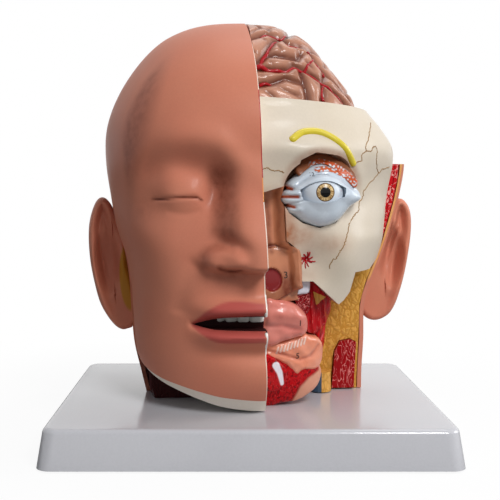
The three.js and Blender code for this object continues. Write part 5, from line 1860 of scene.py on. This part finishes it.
def make_levator():
    """The muscle behind the eye's top, with a band of red and white flecks along the moulding; the rest is a
    dark brown that is partly painted shade.
    """
    muscle = slab("top_eye_muscle", grown(LEVATOR_ROOM, -0.35), levator_front, -60.9, 30, 160, 1.5)
    remove(muscle, pillow("capsule", grown(EYE_OUTLINE, GAP), BODY_MIDDLE, BODY_FRONT - GAP, EYE_BACK + GAP,
                          40, 120))
    x, _, h = corners(muscle.data).T
    to_body = to_line(x, h, smooth_line(EYE_BODY, 12, closed=True))[0]
    band = ease(2.7, 2.1, to_body) * ease(24, 28, x)
    fleck = flecks(x, h, 5)
    write_attribute(muscle, "tint", band * ease(0.2, 0.7, fleck))
    write_attribute(muscle, "hollow", band * ease(0.7, 0.2, fleck))
    return put_on_board(muscle, "eye", "eye_muscle", "levator_muscle", EYE_TOP, sharp=60)


eye_body = make_eye_body()
make_levator()

# %% [markdown]
# The iris is painted: a dark rim, a brown ring with fine spokes, a black pupil. The paint reads how far a
# point lies from the ball's front, so that it stays round, and a clear coat gives the wet glint.

# %% Eyeball
def iris_paint():
    material, tree, gloss = new_material("painted eyeball")
    place = node(tree, "TexCoord").outputs["Object"]
    front = head_matrix() @ Vector((PUPIL[0], EYE_FRONT, PUPIL[1]))
    centred = node(tree, "Mapping", {"vector_type": "POINT"}, Vector=place,
                   Location=(-front.x, -front.y, -front.z))
    parts = node(tree, "SeparateXYZ", Vector=centred.outputs[0]).outputs
    across, up = parts["X"], parts["Z"]
    square = sums(tree, "ADD", sums(tree, "MULTIPLY", across, across), sums(tree, "MULTIPLY", up, up))
    radius = sums(tree, "SQRT", square)
    angle = sums(tree, "ARCTAN2", up, across)
    polar = node(tree, "CombineXYZ", X=sums(tree, "MULTIPLY", angle, 5.5),
                 Y=sums(tree, "MULTIPLY", radius, 400.0)).outputs[0]
    spokes = node(tree, "TexNoise", {"noise_dimensions": "2D"}, Vector=polar, Scale=1.0,
                  Detail=3.0).outputs["Fac"]
    ring = over(tree, between(tree, spokes, 0.38, 0.62), linear("9a7444"), linear("e0c28c"))
    veins = node(tree, "TexNoise", Vector=place, Scale=420.0, Detail=4.0).outputs["Fac"]
    colour = over(tree, between(tree, veins, 0.62, 0.75, 0.0, 0.3), linear("d3dbe4"), linear("c98880"))
    for inner, outer, inside_it in ((0.0046, 0.0048, linear("5a4026")), (0.0040, 0.0044, ring),
                                    (0.0025, 0.0028, linear("060505"))):
        colour = over(tree, between(tree, radius, inner, outer, 1.0, 0.0), colour, inside_it)
    fill(tree, gloss, Base_Color=colour, Roughness=between(tree, spokes, 0.2, 0.8, 0.12, 0.22),
         Specular_IOR_Level=0.1, Coat_Weight=0.3, Coat_Roughness=0.03)
    return material


def make_eyeball():
    ball = ellipsoid(BALL_MIDDLE, (BALL_RADIUS,) * 3, 96, 72)
    ball.name = "glossy_eyeball"
    places = corners(ball.data)
    x, y, h = places.T
    cornea = 0.35 * np.exp(-(((x - PUPIL[0]) ** 2 + (h - PUPIL[1]) ** 2) / 22)) * (y < EYE_FRONT + 6)
    move_corners(ball.data, places - np.stack([x * 0, cornea, x * 0], axis=-1))
    return put_on_board(ball, "eye", "eyeball", "eyeball", iris_paint(), sharp=60)


make_eyeball()

# %% [markdown]
# ## Mouth, tongue and muscles
#
# Below the skull the model shows the mouth in section. Its parts fit each other like the pieces of a
# puzzle: each is a slab over its own outline, with a rounded rim, and its front follows the head's surface
# at its own depth. Relief and paint then make a tongue, a gland, muscle or bone of it.

# %% Depth under the skin
def head_front(x, h, inset):
    """y of the head's plain surface at (x, h), moved in by inset."""
    row = row_at(SECTIONS, h)
    side = np.where(x < 0, row[..., 3], row[..., 4]) - inset
    reach = (1 - np.minimum(0.999, np.abs(x) / side) ** SECTION_ROUND) ** (1 / SECTION_ROUND)
    return -(row[..., 1] - inset) * reach


def noise_field(x, h, length, seed):
    return fold_field(np.stack([x, x * 0, h], axis=-1), seed, 24, length, 0.35)


def group_pattern(group, **inputs):
    """A pattern for paint() from a node group that puts out a colour and a height."""
    def pattern(tree, place, shown, height):
        made = use(tree, group, Place=place, Colour=shown, **inputs)
        return made.outputs["Colour"], made.outputs["Height"]

    return pattern


def muscle_paint(name, colour, dark, pale, grain, flecks, wash_and_shade="6a0a10", tint=None):
    pattern = group_pattern(FIBRES, Dark=linear(dark), Pale=linear(pale), Grain=grain, Flecks=flecks)
    return paint(name, colour, colour, wash_and_shade=wash_and_shade, rough=0.26, coat=0.16, bumpy=0.3, bump_size=0.0008,
                 pattern=pattern, shine=0.05, tint=tint)


def vessel_paint(name, colour, line, grain, width):
    pattern = group_pattern(SQUIGGLES, Line=linear(line), Grain=grain, Width=width)
    return paint(name, colour, colour, wash_and_shade="5a060c", rough=0.28, coat=0.14, bumpy=0.25, bump_size=0.0006,
                 pattern=pattern, shine=0.05)


FAT_COLOUR = "d7a24e"
# The furrows between the lumps of fat are painted darker as shade.
FAT_FURROW_SHADE = "b9822f"
FAT_WASH_AND_SHADE = "8e5a1c"
FAT_SIZE = 300.0
FAT_PATTERN = group_pattern(LOBES, Furrow=linear(FAT_FURROW_SHADE), Size=FAT_SIZE)
FAT = paint("ochre fat", FAT_COLOUR, FAT_COLOUR, wash_and_shade=FAT_WASH_AND_SHADE, rough=0.34, coat=0.4, bumpy=0.5,
            bump_size=0.0012, pattern=FAT_PATTERN)
FLOOR_GRAIN = (500.0, 300.0, 280.0)
FLOOR_MUSCLE = muscle_paint("flecked red muscle", "bc0812", "740208", "e07c76", FLOOR_GRAIN, 0.4, "5a060c",
                            tint="d8997f")
JAW_CUT = muscle_paint("flecked red section", "bc0812", "740208", "e07c76", FLOOR_GRAIN, 0.4, "5a060c",
                       tint="ece6ee")
CHEEK_MUSCLE = muscle_paint("striped cheek muscle", "b4121a", "8c0a12", "e8847c", (420.0, 300.0, 50.0), 0.5,
                            "8a1016", tint=FAT_COLOUR)
JAW_MUSCLE = muscle_paint("long red muscle", "c20a14", "8c060c", "e07a74", (420.0, 260.0, 90.0), 0.06,
                          "7c070d", tint="e4dce0")
GUM = vessel_paint("dark gum", "86060f", "e08c88", (420.0, 420.0, 420.0), 0.016)
TONGUE = paint("pink tongue", "d47a6c", "da8a7c", wash_and_shade="8e3f3c", size=70.0, amount=0.5, rough=0.3, coat=0.35,
               bumpy=0.08, wash_and_shade_amount=0.8)
GLAND = paint("orange pink gland", "e28a6a", "e89c80", wash_and_shade="9c4630", size=90.0, amount=0.5, rough=0.3,
              coat=0.35, tint="f2e0d4")
NASAL = paint("brown orange nose wall", "bf7a58", "c98967", wash_and_shade="6a2610", size=70.0, amount=0.7, rough=0.34,
              coat=0.25, tint="7a0c10", wash_and_shade_amount=0.9)
PALATE = paint("brown palate", "c07a5a", "c98868", wash_and_shade="7c3a24", size=90.0, rough=0.3, coat=0.3)
TOOTH_SECTION = paint("section of the molar", "d9d6e0", "c6c4d0", wash_and_shade="5c5664", size=260.0, rough=0.3,
                      coat=0.4)

# %% Forms of the organs
# Each form gives how far the organ stands in front of its plain depth, the shade that is painted into
# its grooves and furrows, and its tint.
def tongue_form(x, h):
    fold = 1.6 * by_line(x, h, [(3, 52), (12, 53.5), (20, 50)], 3.2)
    groove = by_line(x, h, [(1, 47), (10, 46.8), (19, 44.5)], 1.6)
    # The groove is painted darker as shade.
    return fold - 1.0 * groove + 0.25 * noise_field(x, h, 7, 4), 0.45 * groove, x * 0


def gland_form(x, h):
    feet = [(7 + 1.9 * k, 31.4 + 0.55 * k) for k in range(9)]
    ridges = np.clip(near_any(x, h, [[(a, b), (a + 0.9, b + 3.2)] for a, b in feet], 0.45), 0, 1)
    furrow = by_line(x, h, [(2, 33), (12, 30), (20, 27), (26, 28.5), (31, 34)], 1.1)
    # The furrow is painted darker as shade; the ridges are tinted pale.
    return 0.8 * ridges - 1.1 * furrow + 0.25 * noise_field(x, h, 6, 8), 0.6 * furrow, 0.9 * ridges


def nose_form(x, h):
    turn = [(1, 88), (7, 89.2), (13, 87.5)]
    hole = np.hypot((x - 5) / 5.4, (h - 71.2) / 6.2)
    # Its wash: darker streaks, painted shade in the groove at the turn and beside the hole, and darker
    # towards the bottom.
    wash_and_shade = sum([
        0.7 * by_line(x, h, [(3, 112), (4.2, 104), (3.6, 94), (5, 86)], 1.5),
        0.5 * by_line(x, h, [(8.6, 116), (9.6, 106), (8.8, 97), (9.8, 90)], 1.2),
        0.8 * by_line(x, h, turn, 0.7),
        0.5 * ease(84, 70, h) * ease(8, 12, x) * ease(17.5, 14.5, x),
        0.5 * ease(80, 66, h),
    ])
    side = to_line(x, h, [(11.4, 120), (11.8, 91.8), (18.4, 86.7), (18.9, 68)])[0]
    height = 1.3 * by_line(x, h, [(15.4, 86), (16.6, 78), (16.2, 71), (17.2, 68)], 1.3)
    height = height - 1.5 * by_line(x, h, turn, 1.0) - 2.2 * ease(1.05, 0.85, hole) + 9 * ease(5.5, -1, side)
    return height, np.clip(wash_and_shade, 0, 1) * ease(0.9, 1.1, hole), ease(1.04, 0.96, hole)


def jaw_form(x, h):
    white, along = to_line(x, h, [(6.4, 25), (8.4, 21), (9.8, 14.5)])
    return x * 0, x * 0, ease(2.3, 1.6, white + along)


def floor_form(x, h):
    fold = looped(np.array([(16, 2), (20.4, 11.5), (25, 16), (31, 19.5), (32, 24), (36, 24), (34, 8),
                            (22, 1)]))
    pink = ease(-0.5, 0.7, depth_inside(x, h, fold))
    # Along the edge of the pink fold, shade is painted darker.
    return 1.2 * pink, 0.5 * by_line(x, h, fold, 0.8) * (x < 33), pink


def gum_form(x, h):
    grain = noise_field(x, h, 1.7, 12)
    # The low parts of the grain are painted darker as shade.
    return 0.22 * grain, 0.35 * ease(0.2, -0.8, grain), x * 0


def strand_form(x, h, slant, patch):
    """Strands of muscle, with shade painted between them and a patch in the second colour."""
    strands = np.sin((x + slant * h) * 1.5 + 0.9 * noise_field(x, h, 10, 6))
    return strands, 0.45 * ease(-0.3, -0.95, strands) * (1 - patch), patch


def cheek_form(x, h):
    return strand_form(x, h, 0.12, 1.0 * inside(x, h, [(28.6, 63.4), (36.8, 59.6), (30.6, 55.8)]))


def pterygoid_form(x, h):
    return strand_form(x, h, -0.42, ease(1.7, 1.2, to_line(x, h, [(41.2, 56.5), (44.6, 55)])[0]))


def plain_form(x, h):
    return 0.12 * noise_field(x, h, 3, 2), x * 0, x * 0


print("gland ridges at their middle:", gland_form(np.array([7.4]), np.array([33.0]))[2].round(2))

# %% Organs
ORGANS = [
    ("tongue", "tongue_body", "tongue", 13, 5.0, TONGUE, tongue_form,
     [(HALF, 60.3), (9, 60.5), (17, 58), (23, 52), (24.3, 46), (22.5, 41.5), (12, 38.5), (HALF, 36.6)]),
    ("sublingual_gland", "gland_body", "gland", 17, 3.2, GLAND, gland_form,
     [(HALF, 36), (11, 37.8), (22, 40.8), (25.8, 39.5), (32, 37), (34.5, 30), (31.5, 21), (22, 20.6),
      (18, 18.6), (11.5, 24.6), (HALF, 31)]),
    ("jaw_section", "jaw_cut", "tooth", 15, 2.0, JAW_CUT, jaw_form,
     [(HALF, 30.8), (10.6, 24.6), (12.6, 18), (8.6, 11), (HALF, 12)]),
    ("mouth_floor_muscle", "floor_muscle", "muscle", 18, 2.4, FLOOR_MUSCLE, floor_form,
     [(HALF, 31), (8, 30), (16, 27), (24, 24), (31, 23), (33.5, 18), (31.6, 11), (26, 6), (19.3, 2.6),
      (11, 1.4), (HALF, 1.2)]),
    ("upper_molar", "molar_cut", "tooth", 17.5, 1.4, TOOTH_SECTION, plain_form,
     [(17.8, 70.4), (21.5, 71.2), (25.6, 70.4), (25.4, 64), (21.5, 63), (17.6, 63.6)]),
    ("gum_section", "gum_cut", "dark_muscle", 19.5, 1.2, GUM, gum_form,
     [(17.6, 65.5), (25.6, 66), (26, 54), (22, 51), (19, 55)]),
    ("buccinator", "cheek_muscle", "muscle", 21, 2.0, CHEEK_MUSCLE, cheek_form,
     [(25.3, 69.8), (27.3, 70.3), (36.5, 62), (42.4, 57), (40, 46), (30, 40), (24, 45)]),
    ("medial_pterygoid", "jaw_muscle", "muscle", 24, 2.2, JAW_MUSCLE, pterygoid_form,
     [(42, 56), (45.5, 56.2), (44, 46), (40.6, 37), (36.4, 27.5), (34.6, 31), (32.4, 37.4), (27, 40.4),
      (25.2, 46.8), (30, 42.6), (38.2, 47.6)]),
    ("hard_palate", "palate_edge", "palate", 17, 1.2, PALATE, plain_form,
     [(HALF, 64), (17.6, 67.5), (18.6, 62), (18, 60), (HALF, 59)]),
    ("nasal_wall", "nose_wall", "nasal", 15, 0.5, NASAL, nose_form,
     [(HALF, 116), (12.6, 119.3), (13, 91.8), (19.6, 87), (20.2, 70.2), (19, 66.5), (HALF, 63.6)]),
]


def make_organ(node_name, name, slot, inset, rim, finish, form, outline):
    def front(x, h):
        return head_front(x, h, inset) - form(x, h)[0] * 0.8

    piece = slab(name, grown(outline, 0.1), front, -GAP, 40, 180, rim)
    x, y, h = corners(piece.data).T
    # The shade of each form is painted only on the organ's front.
    _, wash_and_shade, tint = form(x, h)
    near = y < head_front(x, h, inset) + rim + 3
    write_attribute(piece, "hollow", np.clip(wash_and_shade, 0, 1) * near)
    write_attribute(piece, "tint", np.clip(tint, 0, 1) * near)
    if node_name == "nasal_wall":
        remove(piece, eye_way())
    return put_on_board(piece, "stand", slot, node_name, finish, sharp=50)


organ_pieces = {row[0]: make_organ(*row) for row in ORGANS}

# %% [markdown]
# ## Numbers and fine lines
#
# Teachers point at small printed numbers, so some of the parts carry one. Each is a line of text that is
# turned into a thin mesh and laid on the part's surface, which is found with rays. A small star of vessels
# lies in the hole of the cheekbone. Along the cut edge of the mask, a red and an orange line show layers of
# the scalp, and two white ones the gums: they are narrow tubes that follow the skin.

# %% Numbers
INK = paint("black ink", "1c1715", "2a2422", wash_and_shade="120e0c", size=400.0, rough=0.6, coat=0.0)


def number(text, x, h, size, front, body="stand"):
    """Text as a thin mesh, half sunk into the surface y = front(x, h)."""
    curve = bpy.data.curves.new("number_" + text, "FONT")
    curve.body = text
    curve.size = size
    curve.extrude = 0.12
    curve.align_x = "CENTER"
    curve.align_y = "CENTER"
    mesh = mesh_from_curve("number_" + text, curve)
    piece = add_object("number_" + text, mesh)
    flat = corners(mesh)
    places = np.stack([flat[:, 0] + x, flat[:, 2] * -1.0, flat[:, 1] + h], axis=-1)
    places[:, 1] += front(places[:, 0], places[:, 2]) - 0.02
    move_corners(mesh, places)
    return put_on_board(piece, body, None, None, INK, sharp=60)


def laid_on(piece):
    """y of a finished piece's front, found with rays from in front of the face."""
    turn = head_matrix()
    back = turn.inverted()
    way = (turn.to_3x3() @ Vector((0, 1, 0))).normalized()
    bpy.context.view_layer.update()

    def front(x, h):
        hits = [piece.ray_cast(turn @ Vector((a, -130, b)), way) for a, b in zip(x.tolist(), h.tolist())]
        return np.array([(back @ hit[1]).y for hit in hits])

    return front


number("1", 19.4, 47.9, 4.6, laid_on(organ_pieces["tongue"]))
number("3", 12.2, 73.5, 5, laid_on(organ_pieces["nasal_wall"]))
number("5", 18.7, 29.1, 4.6, laid_on(organ_pieces["sublingual_gland"]))
number("12", 25.4, 125.8, 2.8, laid_on(eye_body), "eye")

# %% Vessel star
def vessel_star():
    chance = np.random.default_rng(3)
    arms = []
    for k in range(11):
        angle = k * math.tau / 11 + chance.uniform(-0.2, 0.2)
        reach = chance.uniform(3.0, 5.0)
        t = np.array([0.15, 0.5, 0.8, 1.0])
        turn = angle + 0.5 * t
        spots = np.stack([23.5 + reach * t * np.cos(turn), 81.9 + reach * t * np.sin(turn)], axis=-1)
        arms.append(tube("arm", on_fine_bone(spots, -0.1).tolist(), 0.5, 8, taper=0.3))
    return put_on_board(merge("cheek_vessels", arms), "stand", "bone", None, ARTERY, sharp=180)


vessel_star()

# %% Lines along the cut edge of the mask
ORANGE_LINE = paint("orange line", "d98a3c", "e09a50", wash_and_shade="a05c20", size=200.0, rough=0.4, coat=0.2)


def edge_line(name, inset, finish, low, high, radius):
    heights = np.linspace(low, high, 40)
    x = heights * 0 - MASK_EDGE + 0.1
    y = head_front(x, heights, 0) - face_relief(x, heights) + inset
    piece = tube(name, np.stack([x, y, heights], axis=-1).tolist(), radius, 8)
    return put_on_board(piece, "face_mask", "bone", None, finish, sharp=180)


edge_line("red_scalp_line", 1.2, ARTERY, 124, 168, 0.5)
edge_line("orange_scalp_line", 1.3, ORANGE_LINE, 112, 124, 0.5)
edge_line("upper_gum_line", 1.1, TOOTH, 54.6, 65, 0.8)
edge_line("lower_gum_line", 1.1, TOOTH, 33.5, 45.8, 0.8)

# %% [markdown]
# ## Paint for the frame's own parts
#
# What the CAD solids already show well keeps its solid and only gets its paint: the layers beside the
# skull, the fat, the muscles and the vein of the neck, the stem of the brain, the pins, the screws and the
# feet.

# %% Metal and rubber
def turned_steel():
    material, tree, gloss = new_material("turned steel")
    place = node(tree, "TexCoord").outputs["Object"]
    lines = sums(tree, "MULTIPLY", place, (60, 60, 3000), kind="VectorMath")
    grain = node(tree, "TexNoise", Vector=lines, Scale=1.0, Detail=2.0).outputs["Fac"]
    fill(tree, gloss, Base_Color=over(tree, grain, linear("a8a8a6"), linear("c6c6c4")),
         Roughness=between(tree, grain, 0.2, 0.8, 0.25, 0.42), Metallic=1)
    return material


STEEL = turned_steel()
RUBBER = paint("black rubber", "2e2e2e", "3a3a3a", wash_and_shade="1a1a1a", size=400.0, rough=0.75, coat=0.0, bumpy=0.3)
TEMPLE = vessel_paint("temple muscle", "c20f1a", "f2a8a0", (360.0, 360.0, 260.0), 0.018)
PINK_TISSUE = muscle_paint("veined pink tissue", "b9786a", "8a3a34", "dba89c", (300.0, 300.0, 90.0), 0.5)
# The right neck muscle, under the jaw, is painted near black as the shadow there.
SHADOWED_NECK_MUSCLE = muscle_paint("dark red muscle", "4a090e", "2a0406", "7a3434", (300.0, 300.0, 60.0), 0.25)
NECK_MUSCLE = vessel_paint("neck muscle", "94060f", "d87c78", (330.0, 330.0, 130.0), 0.013)


def vein_pattern(tree, place, shown, height):
    """Beside the blue there is fat again."""
    fat, _ = FAT_PATTERN(tree, place, linear(FAT_COLOUR), height)
    across = node(tree, "SeparateXYZ", Vector=place).outputs["X"]
    edge = (head_matrix() @ Vector((38.2, -13, 8))).x
    return over(tree, between(tree, across, edge - 0.0002, edge), shown, fat), height


VEIN = paint("dark blue vein", "34495d", "3f566c", wash_and_shade="232c3a", size=120.0, rough=0.4, coat=0.1,
             pattern=vein_pattern)


def neck_pattern(tree, place, shown, height):
    """Lobed fat on the opened left side; below the right jaw a near-black painted shadow."""
    fat, lumps = FAT_PATTERN(tree, place, shown, height)
    across = node(tree, "SeparateXYZ", Vector=place).outputs["X"]
    return over(tree, between(tree, across, 0.004, 0.0, 0.0, 1.0), fat, linear("2c0505")), lumps


# Below the right jaw the neck is painted near black as shadow.
NECK = paint("fat and dark muscle of the neck", FAT_COLOUR, FAT_COLOUR, wash_and_shade=FAT_WASH_AND_SHADE, rough=0.5, coat=0.05,
             shine=0.05, bumpy=0.5, bump_size=0.0012, pattern=neck_pattern)

FINISHES = {
    "neck_core": NECK, "parotid_fat": FAT, "cheek_fat_layer": TEMPLE, "temple_muscle": TEMPLE,
    "masseter": PINK_TISSUE, "sternomastoid_right": SHADOWED_NECK_MUSCLE, "sternomastoid_left": NECK_MUSCLE,
    "jugular_vein": VEIN, "brain_stem": STEM_PAINT, "brain_pin": STEEL, "mask_pin_1": STEEL,
    "mask_pin_2": STEEL, **{f"base_screw_{k}": STEEL for k in (1, 2, 3)},
    **{f"base_foot_{k}": RUBBER for k in (1, 2, 3, 4)},
}
for name, finish in FINISHES.items():
    dress(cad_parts[name], finish)
left_plain = [n for n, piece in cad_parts.items() if not piece.hide_render and n not in FINISHES]
print("nodes without a finish:", left_plain)
